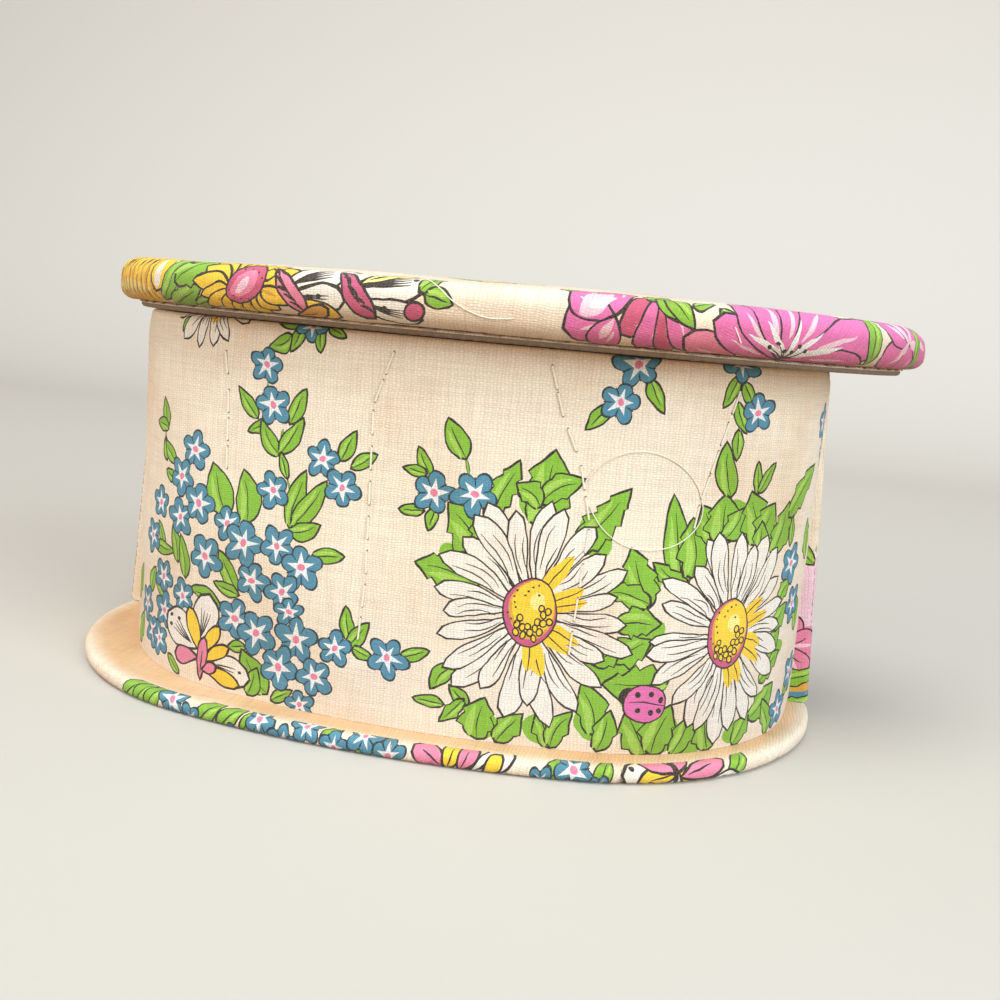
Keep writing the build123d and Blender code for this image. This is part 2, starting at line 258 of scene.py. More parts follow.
def sewing_thread(name, colour):
    """Twisted cotton thread: slanting ply lines in its colour and relief."""
    material, tree, shader = new_material(name)
    place = node(tree, "ShaderNodeTexCoord")
    ply = node(tree, "ShaderNodeTexWave", Scale=1400.0, Distortion=1.5, bands_direction="DIAGONAL")
    tree.links.new(place.outputs["Object"], ply.inputs["Vector"])
    ramp = node(tree, "ShaderNodeValToRGB")
    ramp.color_ramp.elements[0].color = [value * 0.84 for value in colour[:3]] + [1.0]
    ramp.color_ramp.elements[1].color = colour
    tree.links.new(ply.outputs["Fac"], ramp.inputs["Fac"])
    tree.links.new(ramp.outputs["Color"], shader.inputs["Base Color"])
    bump = node(tree, "ShaderNodeBump", Strength=0.5, Distance=0.00005)
    tree.links.new(ply.outputs["Fac"], bump.inputs["Height"])
    tree.links.new(bump.outputs["Normal"], shader.inputs["Normal"])
    shader.inputs["Roughness"].default_value = 0.7
    shader.inputs["Sheen Weight"].default_value = 0.2
    return material


PRINTED = cotton("printed cotton", "cream", True)
PLAIN = cotton("plain cotton", "cream", False)
# Cotton whose inks carry painted shade, for the lid's liner.
SHADED_COTTON = cotton("soiled cotton", "cream", True)
CARD = fibres("grey card", linear(196, 180, 150), linear(160, 142, 112), 900.0, 0.9, 0.3)
WADDING = fibres("cotton wadding", linear(240, 236, 226), linear(216, 210, 196), 500.0, 1.0, 0.8)
THREAD = sewing_thread("sewing thread", linear(250, 242, 224))
# A darker thread, for the stitches at the rim and along the lid's lower edge.
DARKER_THREAD = sewing_thread("soiled thread", linear(168, 148, 124))


# ---- Plan geometry of the D-shaped pieces


def bow_geometry(plan):
    """The D's corner radius, corner centre x, bow centre y and half the bow's angle."""
    half_width, depth, bow_radius = plan
    rise = depth - SIDE_RUN
    corner = (2 * bow_radius * rise - half_width**2 - rise**2) / (2 * (bow_radius - half_width))
    corner_x = half_width - corner
    bow_y = REAR - depth + bow_radius
    return corner, corner_x, bow_y, atan2(corner_x, bow_y - (REAR - SIDE_RUN))


def front_point(plan, run, inset=0.0, shift=0.0):
    """Plan point and outward direction at a run along the D's outline from the middle of its front."""
    corner, corner_x, bow_y, half_turn = bow_geometry(plan)
    side = 1 if run >= 0 else -1
    bow_run = half_turn * plan[2]
    straight = 0.0
    if abs(run) <= bow_run:
        turn, radius, centre_x, centre_y = abs(run) / plan[2], plan[2], 0.0, bow_y
    else:
        turn = half_turn + (abs(run) - bow_run) / corner
        radius, centre_x, centre_y = corner, corner_x, REAR - SIDE_RUN
        if turn > pi / 2:
            straight = (turn - pi / 2) * corner
            turn = pi / 2
    x = side * (centre_x + (radius - inset) * sin(turn)) + shift
    y = centre_y - (radius - inset) * cos(turn) + straight
    return x, y, side * sin(turn), -cos(turn)


def front_run(plan):
    """Length of the outline from the middle of the front to where the side turns straight."""
    corner, _, _, half_turn = bow_geometry(plan)
    return half_turn * plan[2] + (pi / 2 - half_turn) * corner


def rounded_corner(first, first_way, second, second_way, radius):
    """Distance and outward direction of a form bounded by two sides whose corner is rounded."""
    if first > -radius and second > -radius:
        dx, dy = first + radius, second + radius
        away = hypot(dx, dy) or 1e-9
        way_x = (first_way[0] * dx + second_way[0] * dy) / away
        way_y = (first_way[1] * dx + second_way[1] * dy) / away
        return away - radius, way_x, way_y
    if first > second:
        return first, *first_way
    return second, *second_way


def plan_field(plan, shift, back_radius, inset=0.0, back=REAR):
    """A D plan's field: distance outside its outline, negative inside, and the outward direction."""
    corner, corner_x, bow_y, half_turn = bow_geometry(plan)
    corner_y = REAR - SIDE_RUN

    def field(x, y):
        side = 1 if x >= shift else -1
        across = abs(x - shift)
        if y > corner_y:
            front, way = across - plan[0], (float(side), 0.0)
        elif atan2(across, bow_y - y) < half_turn:
            turn = atan2(across, bow_y - y)
            front, way = hypot(across, bow_y - y) - plan[2], (side * sin(turn), -cos(turn))
        else:
            dx, dy = across - corner_x, y - corner_y
            away = hypot(dx, dy) or 1e-9
            front, way = away - corner, (side * dx / away, dy / away)
        return rounded_corner(front + inset, way, y - back, (0.0, 1.0), back_radius)

    return field


def ring_at(field, middle, out, step):
    """Points round a field's form where it stands out by a distance, about step apart."""
    ring = []
    for i in range(360):
        angle = 2 * pi * i / 360
        c, s = cos(angle), sin(angle)
        near, far = 0.0, 140.0
        for _ in range(16):
            half = (near + far) / 2
            if field(middle[0] + c * half, middle[1] + s * half)[0] < out:
                near = half
            else:
                far = half
        ring.append((middle[0] + c * near, middle[1] + s * near))
    even, spare = [ring[0]], 0.0
    for (x0, y0), (x1, y1) in zip(ring, ring[1:]):
        length = hypot(x1 - x0, y1 - y0)
        while spare + length >= step:
            share = (step - spare) / length
            x0, y0 = x0 + (x1 - x0) * share, y0 + (y1 - y0) * share
            length -= step - spare
            spare = 0.0
            even.append((x0, y0))
        spare += length
    if hypot(even[-1][0] - even[0][0], even[-1][1] - even[0][1]) < step * 0.4:
        even.pop()
    return even


def mitred(field, ring, place):
    """A cloth's outline drawn in at the corners, so that its turnings meet there and don't overlap."""
    cut = []
    for x, y in ring:
        outside, nx, ny = field(x, y)
        edge_x, edge_y = x - nx * outside, y - ny * outside

        def lies_flat(out):
            px, py = place(edge_x + nx * out, edge_y + ny * out)[:2]
            inset = (edge_x - px) * nx + (edge_y - py) * ny
            return inset < 0.5 or field(px, py)[0] <= 0.1 - inset

        near, far = 0.4, outside
        while not lies_flat(far) and far - near > 0.01:
            half = (near + far) / 2
            if lies_flat(half):
                near = half
            else:
                far = half
            if far - near <= 0.01:
                far = near
        cut.append((edge_x + nx * far, edge_y + ny * far))
    return cut


def rounded_edge(travel, top, low, top_radius, low_radius):
    """Inset, height and outward tilt (0 flat on top, 90 upright, 180 underneath) of cloth that
    travels over a plate's edge, down its side and underneath."""
    upper = top_radius * pi / 2
    side = top - top_radius - low - low_radius
    lower = low_radius * pi / 2
    if travel <= 0:
        return top_radius - travel, top, 0.0
    if travel < upper:
        angle = travel / top_radius
        return top_radius * (1 - sin(angle)), top - top_radius * (1 - cos(angle)), angle
    if travel < upper + side:
        return 0.0, top - top_radius - (travel - upper), pi / 2
    if travel < upper + side + lower:
        angle = (travel - upper - side) / low_radius
        return low_radius * (1 - cos(angle)), low + low_radius * (1 - sin(angle)), pi / 2 + angle
    return low_radius + travel - upper - side - lower, low, pi


# ---- Drawing the print: every motif is a list of (ink, polygon), painted in order

LINE = 0.27


def oval(x, y, radius_x, radius_y=None, turn=0.0, count=14):
    """An ellipse."""
    radius_y = radius_x if radius_y is None else radius_y
    c, s = cos(radians(turn)), sin(radians(turn))
    points = []
    for i in range(count):
        a = 2 * pi * i / count
        u, v = radius_x * cos(a), radius_y * sin(a)
        points.append((x + c * u - s * v, y + s * u + c * v))
    return points


def brush(points, width):
    """A pen line through points, thinner at its two ends."""
    left, right = [], []
    last = len(points) - 1
    for i, (x, y) in enumerate(points):
        x0, y0 = points[max(0, i - 1)]
        x1, y1 = points[min(last, i + 1)]
        length = hypot(x1 - x0, y1 - y0) or 1e-9
        half = width / 2 * (0.4 + 0.6 * sin(pi * i / last))
        nx, ny = -(y1 - y0) / length * half, (x1 - x0) / length * half
        left.append((x + nx, y + ny))
        right.append((x - nx, y - ny))
    return left + right[::-1]


def bowed(x0, y0, x1, y1, bow, count=6):
    """Points from one place to another, bowed sideways."""
    length = hypot(x1 - x0, y1 - y0) or 1e-9
    nx, ny = -(y1 - y0) / length, (x1 - x0) / length
    points = []
    for i in range(count):
        t = i / (count - 1)
        out = bow * 4 * t * (1 - t)
        points.append((x0 + (x1 - x0) * t + nx * out, y0 + (y1 - y0) * t + ny * out))
    return points


def blade(x0, y0, x1, y1, width, grow=0.0, teeth=0, bow=0.0, bluntness=0.85, lean=0.8):
    """A leaf or petal outline from its foot to its tip; teeth notch its edges."""
    length = hypot(x1 - x0, y1 - y0) or 1e-9
    ux, uy = (x1 - x0) / length, (y1 - y0) / length
    steps = 5 * teeth if teeth else 11
    left, right = [], []
    for i in range(steps + 1):
        t = i / steps
        half = width / 2 * sin(pi * min(1.0, t) ** lean) ** bluntness if 0 < t < 1 else 0.0
        if teeth and 0 < t < 1:
            half *= 1.12 - 0.42 * ((teeth * t) % 1.0)
        half += grow
        along = (t * (length + 2.6 * grow)) - 1.3 * grow
        if t in (0, 1):
            half = 0.0
            along += 0.4 * grow if t else -0.4 * grow
        out = bow * 4 * t * (1 - t)
        left.append((x0 + ux * along - uy * (out + half), y0 + uy * along + ux * (out + half)))
        if 0 < t < 1:
            right.append((x0 + ux * along - uy * (out - half), y0 + uy * along + ux * (out - half)))
    return left + right[::-1]


def leaf(x0, y0, x1, y1, width, teeth=0, bow=0.0, ink="green"):
    """A leaf from its foot to its tip, with a pale side and a dark rib."""
    bx, by = x0 + (x1 - x0) * 0.82, y0 + (y1 - y0) * 0.82
    length = hypot(x1 - x0, y1 - y0) or 1e-9
    nx, ny = -(y1 - y0) / length, (x1 - x0) / length
    side = width * 0.2
    pale = blade(x0 + nx * side, y0 + ny * side, bx + nx * side, by + ny * side, width * 0.24, bow=bow)
    return [
        ("line", blade(x0, y0, x1, y1, width, LINE, teeth, bow)),
        (ink, blade(x0, y0, x1, y1, width, 0.0, teeth, bow)),
        ("pale_green", pale),
        ("line", brush(bowed(x0, y0, bx, by, bow * 0.9), LINE * 0.8)),
    ]


def stem(x0, y0, x1, y1, bow=0.0, width=0.5):
    """A thin green stem with a dark edge."""
    route = bowed(x0, y0, x1, y1, bow, 8)
    return [("line", brush(route, width + LINE)), ("green", brush(route, width))]


def forget_me_not(x, y, radius, turn=90.0):
    """A five-petalled blue flower with a pale star and a pink middle."""
    chance = Random(round(x * 97 + y * 31))
    lobes = [chance.uniform(0.94, 1.16) for _ in range(5)]
    def petals(reach):
        points = []
        for i in range(45):
            angle = 2 * pi * i / 45
            lobe = angle * 5 / (2 * pi) + 0.5
            phi = (lobe % 1.0 - 0.5) * 2 * pi / 5
            r = 0.62 * cos(phi) + sqrt(max(0.0, 0.38**2 - (0.62 * sin(phi)) ** 2))
            r *= reach * (1.0 + (lobes[int(lobe) % 5] - 1.0) * cos(phi * 2.5) ** 2)
            a = angle + radians(turn)
            points.append((x + r * cos(a), y + r * sin(a)))
        return points
    star = []
    for i in range(10):
        r = radius * (chance.uniform(0.62, 0.78) if i % 2 == 0 else 0.24)
        a = radians(turn + 36 * i + chance.uniform(-7, 7))
        star.append((x + r * cos(a), y + r * sin(a)))
    drawn = [("teal", petals(radius)), ("blue", petals(radius - LINE * 1.25))]
    for i in range(5):
        a = radians(turn + 36 + 72 * i)
        points = [(x + radius * reach * cos(a), y + radius * reach * sin(a)) for reach in (0.34, 0.55, 0.76)]
        drawn.append(("teal", brush(points, LINE)))
    drawn.append(("star", star))
    drawn.append(("pink", oval(x, y, radius * 0.19, radius * 0.16, turn, 9)))
    return drawn


def daisy(x, y, reach_x, reach_y, eye_x, eye_y, count, seed, streaks=(-100, 55)):
    """A white daisy: overlapping lined petals round a yellow eye that is rosy on one side."""
    chance = Random(seed)
    drawn, golden = [], []
    for layer in (0, 1):
        for i in range(layer, count, 2):
            a = 2 * pi * (i + chance.uniform(-0.3, 0.3)) / count
            reach = chance.uniform(0.9, 1.05) if layer == 0 else chance.uniform(0.82, 1.0)
            tip = (x + reach_x * reach * cos(a), y + reach_y * reach * sin(a))
            foot = (x + eye_x * 0.7 * cos(a), y + eye_y * 0.7 * sin(a))
            size = hypot(tip[0] - foot[0], tip[1] - foot[1])
            width = size * chance.uniform(0.2, 0.27)
            bow = chance.uniform(-0.06, 0.06) * size
            lean = chance.uniform(1.5, 2.1)
            drawn.append(("line", blade(*foot, *tip, width, LINE * 0.9, bow=bow, bluntness=0.55, lean=lean)))
            drawn.append(("white", blade(*foot, *tip, width, bow=bow, bluntness=0.55, lean=lean)))
            ux, uy = (tip[0] - foot[0]) / size, (tip[1] - foot[1]) / size
            angle = degrees(a) if a < pi else degrees(a) - 360
            if streaks[0] < angle < streaks[1] and i % 3:
                reach = chance.uniform(0.42, 0.62)
                far = (foot[0] + ux * size * reach, foot[1] + uy * size * reach)
                golden.append(("yellow", blade(*foot, *far, width * 0.8, bow=bow * 0.4, bluntness=0.5)))
                golden.append(("line", brush(bowed(*foot, *far, bow * 0.4), LINE * 0.8)))
            for side in (-0.18, 0.15):
                from_t, to_t = chance.uniform(0.14, 0.26), chance.uniform(0.5, 0.84)
                off = side * width
                start = (foot[0] + ux * size * from_t - uy * off, foot[1] + uy * size * from_t + ux * off)
                end = (foot[0] + ux * size * to_t - uy * off * 1.3, foot[1] + uy * size * to_t + ux * off * 1.3)
                drawn.append(("line", brush(bowed(*start, *end, bow), LINE * 0.8)))
    drawn += golden
    drawn.append(("line", oval(x, y, eye_x + LINE, eye_y + LINE, count=26)))
    drawn.append(("rose", oval(x, y, eye_x, eye_y, count=26)))
    drawn.append(("ochre", oval(x + eye_x * 0.07, y + eye_y * 0.08, eye_x * 0.9, eye_y * 0.9, count=24)))
    drawn.append(("yellow", oval(x + eye_x * 0.12, y + eye_y * 0.14, eye_x * 0.82, eye_y * 0.82, count=24)))
    drawn.append(("pale_yellow", oval(x + eye_x * 0.25, y + eye_y * 0.3, eye_x * 0.3, eye_y * 0.26)))
    for i in range(16):
        a = radians(-150 + i * 11)
        out = 0.45 + 0.36 * ((i * 7) % 5) / 4
        cx, cy = x + eye_x * out * cos(a), y + eye_y * out * sin(a)
        drawn.append(("line", oval(cx, cy, 0.62, 0.7, count=9)))
        drawn.append(("yellow", oval(cx, cy, 0.36, 0.44, count=8)))
    for i in range(12):
        a = radians(60 + i * 14)
        out = 0.55 + 0.3 * ((i * 3) % 4) / 3
        drawn.append(("line", oval(x + eye_x * out * cos(a), y + eye_y * out * sin(a), 0.2, count=6)))
    return drawn


def wing(x0, y0, x1, y1, width, ink, spots=(), lines=3):
    """One butterfly wing, from the body to its tip, with lines and dark spots."""
    drawn = [
        ("line", blade(x0, y0, x1, y1, width, LINE * 1.2, bluntness=0.6, lean=1.5)),
        (ink, blade(x0, y0, x1, y1, width, bluntness=0.6, lean=1.5)),
    ]
    length = hypot(x1 - x0, y1 - y0)
    nx, ny = -(y1 - y0) / length, (x1 - x0) / length
    for i in range(lines):
        off = width * 0.5 * ((i + 0.5) / lines - 0.5) if lines > 1 else 0.0
        end = (x0 + (x1 - x0) * 0.7 + nx * off, y0 + (y1 - y0) * 0.7 + ny * off)
        start = (x0 + (x1 - x0) * 0.12, y0 + (y1 - y0) * 0.12)
        drawn.append(("line", brush(bowed(*start, *end, 0.0), LINE)))
    for t, off, size in spots:
        cx = x0 + (x1 - x0) * t + nx * off * width
        cy = y0 + (y1 - y0) * t + ny * off * width
        drawn.append(("line", oval(cx, cy, size, size * 0.8, count=9)))
    return drawn


def butterfly(x, y, size, turn, inks=("white", "yellow", "pink")):
    """A butterfly with four wings, spots, a slim body and two feelers."""
    drawn = []
    upper, lower, body = inks
    for side in (-1, 1):
        for angle, reach, width, ink in ((38, 1.0, 0.62, upper), (-32, 0.72, 0.5, lower)):
            a = radians(turn + (angle if side > 0 else 180 - angle))
            tip = (x + size * reach * cos(a), y + size * reach * sin(a))
            spots = ((0.78, 0.2, size * 0.06), (0.72, -0.18, size * 0.07), (0.9, 0.0, size * 0.05))
            drawn += wing(x, y, *tip, size * width, ink, spots if ink == upper else ())
    c, s = cos(radians(turn + 90)), sin(radians(turn + 90))
    drawn.append(("line", blade(x - c * size * 0.5, y - s * size * 0.5, x + c * size * 0.5, y + s * size * 0.5,
                                size * 0.24)))
    drawn.append((body, blade(x - c * size * 0.4, y - s * size * 0.4, x + c * size * 0.4, y + s * size * 0.4,
                              size * 0.13)))
    for side in (-0.25, 0.25):
        drawn.append(("line", brush(bowed(x + c * size * 0.45, y + s * size * 0.45,
                                          x + c * size * 0.85 + s * side * size, y + s * size * 0.85 - c * side * size,
                                          0.4), LINE)))
    return drawn


def ladybird(x, y, radius):
    """A pink ladybird with dark dots."""
    drawn = [
        ("line", oval(x - radius * 0.85, y + radius * 0.35, radius * 0.42, radius * 0.4)),
        ("line", oval(x, y, radius + LINE, radius * 0.88 + LINE, count=20)),
        ("magenta", oval(x, y, radius, radius * 0.88, count=20)),
        ("line", brush(bowed(x - radius * 0.8, y + radius * 0.1, x + radius, y - radius * 0.05, 0.15), LINE)),
    ]
    for dx, dy in ((-0.4, 0.5), (0.25, 0.55), (-0.35, -0.4), (0.3, -0.45), (0.75, 0.25), (0.7, -0.3)):
        drawn.append(("line", oval(x + dx * radius, y + dy * radius * 0.88, radius * 0.14, count=8)))
    return drawn


def big_flower(x, y, size, turn, ink="magenta", count=5, seed=1):
    """A large flower of broad petals with pale streaks and a ring of dark stamens."""
    chance = Random(seed)
    drawn = []
    for i in range(count):
        a = radians(turn + 360 * i / count + chance.uniform(-6, 6))
        tip = (x + size * cos(a), y + size * sin(a))
        drawn.append(("line", blade(x, y, *tip, size * 0.95, LINE, bluntness=0.45, lean=1.7)))
        drawn.append((ink, blade(x, y, *tip, size * 0.95, bluntness=0.45, lean=1.7)))
        for k, off in enumerate((-0.24, 0.0, 0.26)):
            b = a + off
            start = (x + size * 0.3 * cos(b), y + size * 0.3 * sin(b))
            reach = 0.86 if k == 1 else 0.7
            end = (x + size * reach * cos(b + off * 0.3), y + size * reach * sin(b + off * 0.3))
            if k == 1:
                drawn.append(("pale_pink" if ink != "yellow" else "pale_yellow", blade(*start, *end, size * 0.12)))
            else:
                drawn.append(("line", brush(bowed(*start, *end, size * 0.03), LINE * 0.9)))
    drawn.append(("line", oval(x, y, size * 0.17, count=12)))
    drawn.append(("yellow" if ink != "yellow" else "rose", oval(x, y, size * 0.13, count=12)))
    for i in range(11):
        a = 2 * pi * i / 11
        drawn.append(("line", oval(x + size * 0.25 * cos(a), y + size * 0.25 * sin(a), size * 0.03, count=6)))
    return drawn


def moved(drawn, place):
    """The same drawing with every point put through a map."""
    return [(ink, [place(*point) for point in polygon]) for ink, polygon in drawn]


def by_hand(x, y):
    """The small unsteadiness of a drawing made by hand."""
    slow = noise.noise_vector(Vector((x * 0.22, y * 0.22, 3.0)))
    quick = noise.noise_vector(Vector((x * 0.75, y * 0.75, 8.0)))
    return x + 0.34 * slow.x + 0.17 * quick.x, y + 0.34 * slow.y + 0.17 * quick.y


# ---- The printed wall, as run along the bow and height above the table


FORGET_ME_NOTS = (
    (-54.0, 13.0, 3.0), (-52.0, 26.0, 2.9), (-48.9, 32.7, 2.9), (-50.5, 8.4, 3.0), (-47.6, 8.0, 2.8),
    (-46.0, 13.6, 3.1), (-46.8, 19.6, 3.0), (-40.5, 17.7, 2.9), (-38.6, 43.3, 3.2), (-42.2, 38.3, 3.1),
    (-42.2, 31.2, 3.2), (-37.3, 34.4, 3.5), (-35.3, 25.5, 3.6), (-30.6, 32.2, 2.9), (-27.2, 29.3, 3.8),
    (-20.6, 29.8, 3.2), (-15.9, 26.9, 3.6), (-25.0, 23.3, 3.1), (-19.2, 22.5, 3.1), (-17.8, 19.1, 2.6),
    (-28.4, 16.0, 3.5), (-23.9, 14.6, 3.7), (-16.1, 14.6, 3.6), (-19.2, 9.4, 3.5), (-12.4, 8.9, 3.2),
    (-9.1, 14.4, 2.9), (0.1, 14.4, 3.3), (-22.2, 38.8, 2.9), (-13.2, 45.2, 2.9), (-9.6, 40.9, 3.1),
    (-23.0, 52.7, 3.2), (-24.5, 59.0, 2.8), (-16.9, 66.2, 2.6), (-14.8, 3.6, 2.6),
    (5.5, 42.0, 3.2), (11.9, 42.7, 3.4), (35.1, 64.9, 3.4), (32.8, 58.9, 3.1), (52.6, 66.4, 3.3),
    (56.5, 58.9, 3.1), (72.0, 33.0, 3.4), (75.6, 25.5, 3.2), (74.5, 6.4, 3.3), (80.0, 12.0, 3.2),
    (-82.0, 46.0, 3.2), (-79.0, 52.0, 3.0), (-85.0, 40.0, 3.2), (84.0, 52.0, 3.0), (80.5, 57.0, 3.1),
)

# Foot of the leaf, tip, width, and how many teeth its edges have
LEAVES = (
    (-47.4, 40.5, -47.9, 44.0, 2.0, 0), (-44.2, 40.2, -47.8, 43.6, 2.4, 0), (-44.5, 37.4, -47.2, 38.6, 1.8, 0),
    (-47.6, 46.0, -48.7, 50.8, 2.4, 0), (-47.2, 46.0, -51.4, 46.8, 2.2, 0), (-47.0, 24.4, -49.6, 29.0, 2.0, 0),
    (-50.5, 24.6, -44.0, 24.6, 2.2, 0), (-42.4, 23.0, -44.2, 29.2, 2.6, 0), (-40.0, 21.0, -41.8, 28.0, 2.6, 0),
    (-30.6, 33.6, -34.4, 41.6, 5.4, 0), (-26.6, 32.8, -27.8, 41.4, 4.8, 0), (-28.0, 20.4, -32.2, 27.2, 2.9, 0),
    (-27.6, 20.2, -33.0, 21.4, 1.9, 0), (-31.4, 17.2, -38.4, 19.4, 2.6, 0), (-26.0, 50.4, -29.8, 54.8, 2.2, 0),
    (-19.6, 50.2, -16.8, 55.9, 2.5, 0), (-24.0, 49.7, -27.4, 47.9, 1.8, 0), (-20.9, 45.1, -25.0, 49.8, 2.8, 0),
    (-21.0, 45.1, -17.4, 51.0, 2.6, 0), (-19.6, 41.2, -20.8, 45.2, 1.2, 0), (-20.4, 64.2, -24.0, 61.8, 2.6, 0),
    (-18.2, 66.0, -20.0, 62.0, 1.9, 0), (-15.3, 65.6, -14.9, 62.0, 1.8, 0), (-14.0, 66.2, -11.0, 64.7, 1.5, 0),
    (-18.6, 66.6, -22.8, 65.9, 2.0, 0), (-18.6, 33.2, -16.2, 42.8, 3.2, 0), (-18.0, 33.2, -12.4, 41.6, 3.4, 0),
    (-18.6, 32.4, -13.0, 34.4, 2.8, 0), (-13.9, 29.2, -8.6, 30.0, 2.4, 0), (-10.2, 45.6, -7.8, 50.0, 2.4, 0),
    (-8.2, 44.4, -4.2, 47.0, 2.2, 0), (-6.9, 16.2, -7.6, 21.6, 2.4, 0), (-7.0, 14.8, -3.4, 19.4, 2.5, 0),
    (-5.9, 14.8, -2.7, 13.9, 1.8, 0), (2.6, 15.1, 6.8, 16.5, 2.1, 0), (-25.9, 11.6, -29.4, 10.7, 1.8, 0),
    (-21.0, 4.6, -26.4, 10.8, 4.6, 0), (-20.0, 3.4, -16.6, 5.8, 2.0, 0), (-25.0, 3.4, -23.4, 8.2, 3.2, 0),
    (4.9, 44.4, 2.6, 49.0, 2.1, 0), (4.1, 44.8, 0.5, 45.7, 1.7, 0), (10.2, 48.2, 7.1, 53.8, 3.2, 0),
    (4.2, 39.0, 0.2, 39.0, 1.7, 0), (5.9, 39.6, 5.3, 36.4, 1.7, 0), (15.2, 39.8, 18.8, 48.4, 3.4, 4),
    (15.8, 37.2, 14.0, 42.0, 2.2, 0), (14.6, 32.6, 8.2, 40.6, 6.0, 3), (14.4, 34.0, 14.6, 39.6, 3.6, 2),
    (13.9, 28.8, 3.6, 30.8, 5.2, 4), (22.2, 38.6, 23.9, 50.6, 6.4, 3), (22.4, 42.6, 28.8, 46.6, 3.4, 2),
    (22.2, 42.0, 18.6, 45.0, 3.0, 2), (28.8, 34.8, 35.9, 45.6, 4.2, 5), (46.4, 30.0, 43.0, 45.2, 4.2, 0),
    (47.4, 32.6, 46.6, 41.6, 5.0, 3), (47.0, 31.0, 41.0, 34.4, 2.6, 3), (40.6, 27.0, 37.2, 36.4, 4.6, 4),
    (41.0, 27.8, 33.6, 29.6, 3.2, 3), (36.0, 24.0, 43.2, 24.6, 4.0, 3), (35.4, 19.0, 41.8, 21.8, 4.4, 3),
    (33.0, 17.6, 36.8, 20.4, 3.4, 2), (45.6, 15.6, 35.0, 14.2, 5.0, 4), (34.4, 6.0, 31.6, 14.2, 4.4, 2),
    (52.0, 38.0, 48.0, 43.8, 4.6, 2), (52.6, 37.6, 52.2, 45.6, 5.6, 3), (53.0, 38.6, 56.2, 43.6, 4.0, 2),
    (52.9, 45.4, 51.0, 53.8, 3.7, 0), (52.9, 55.8, 53.3, 51.4, 2.0, 0), (52.0, 60.0, 54.6, 55.6, 1.9, 0),
    (52.0, 64.0, 49.6, 59.4, 2.2, 0), (53.0, 62.9, 55.4, 59.9, 2.2, 0), (58.6, 45.8, 57.8, 50.7, 1.8, 0),
    (58.9, 45.9, 62.0, 50.5, 1.9, 0), (59.4, 37.6, 57.2, 46.0, 5.4, 3), (60.4, 37.6, 63.4, 43.8, 5.0, 3),
    (61.0, 36.4, 60.4, 41.2, 3.0, 2), (64.4, 35.4, 67.6, 44.0, 4.4, 3), (68.2, 41.6, 77.6, 49.8, 4.0, 3),
    (70.2, 36.6, 69.6, 41.4, 1.8, 0), (31.4, 58.2, 28.4, 54.6, 2.2, 0), (37.0, 62.6, 39.5, 58.1, 2.2, 0),
    (10.9, 14.4, 7.6, 10.6, 2.8, 0), (9.8, 8.3, 5.0, 8.7, 1.8, 0), (13.8, 8.4, 10.6, 11.4, 2.0, 0),
    (13.0, 9.2, 9.8, 5.4, 2.0, 2), (15.6, 3.2, 16.4, 9.8, 5.0, 3), (19.0, 3.2, 22.6, 8.0, 3.2, 2),
    (27.4, 3.2, 25.0, 8.8, 3.8, 2), (27.6, 3.2, 30.4, 9.0, 3.2, 2), (35.0, 3.2, 36.6, 10.2, 3.4, 2),
    (43.0, 2.9, 39.0, 10.0, 4.8, 3), (44.0, 2.9, 46.6, 11.0, 5.0, 3), (47.6, 2.9, 50.4, 9.6, 3.4, 2),
    (54.6, 2.9, 53.0, 9.4, 4.2, 3), (60.8, 3.0, 63.4, 8.2, 3.2, 2), (64.0, 7.0, 70.8, 12.0, 4.2, 3),
    (66.0, 13.0, 71.6, 17.4, 3.4, 3), (66.4, 17.0, 70.8, 22.0, 3.6, 2), (67.8, 22.4, 72.2, 26.0, 3.4, 2),
    (69.0, 26.4, 72.6, 30.0, 2.6, 2), (71.0, 2.9, 67.6, 9.4, 3.0, 2), (-41.4, 65.0, -43.8, 63.2, 2.0, 0),
    (-41.0, 3.4, -44.0, 6.0, 2.0, 0), (-46.0, 15.8, -49.6, 18.0, 2.6, 0), (-52.4, 15.6, -50.0, 20.4, 2.6, 0),
    (77.0, 8.6, 84.6, 13.6, 3.4, 3), (79.4, 20.0, 76.6, 27.0, 3.2, 2), (81.0, 33.0, 78.0, 40.4, 3.2, 3),
    (-60.0, 4.0, -56.0, 10.6, 3.4, 2), (-63.0, 12.0, -58.4, 19.0, 3.2, 2), (-71.0, 30.0, -66.0, 38.0, 3.4, 3),
    (-82.0, 42.0, -86.0, 50.0, 2.8, 0), (-78.0, 47.0, -74.6, 52.4, 2.6, 0), (-77.0, 12.0, -70.0, 16.0, 3.4, 3),
)

# Middles and half sizes of plain green behind the leaves round the daisies
GREEN_GROUND = (
    (36.0, 17.0, 3.0, 5.0), (40.0, 13.0, 4.2, 2.6), (44.6, 6.6, 4.0, 3.6), (38.6, 31.0, 2.6, 4.0), (48.4, 38.2, 3.6, 2.6),
    (56.0, 41.4, 4.4, 2.4), (62.0, 39.0, 3.0, 3.2), (12.6, 35.4, 3.0, 3.0), (21.6, 42.6, 3.0, 2.6), (31.4, 38.0, 2.6, 3.6),
    (9.6, 31.4, 3.6, 1.8), (33.4, 7.4, 2.2, 3.0), (51.2, 5.6, 4.2, 2.8), (68.6, 17.6, 2.2, 4.6), (60.6, 5.4, 3.0, 2.0),
    (25.4, 6.0, 2.6, 2.6), (16.8, 5.6, 2.4, 2.2), (41.4, 22.4, 2.0, 3.4),
)

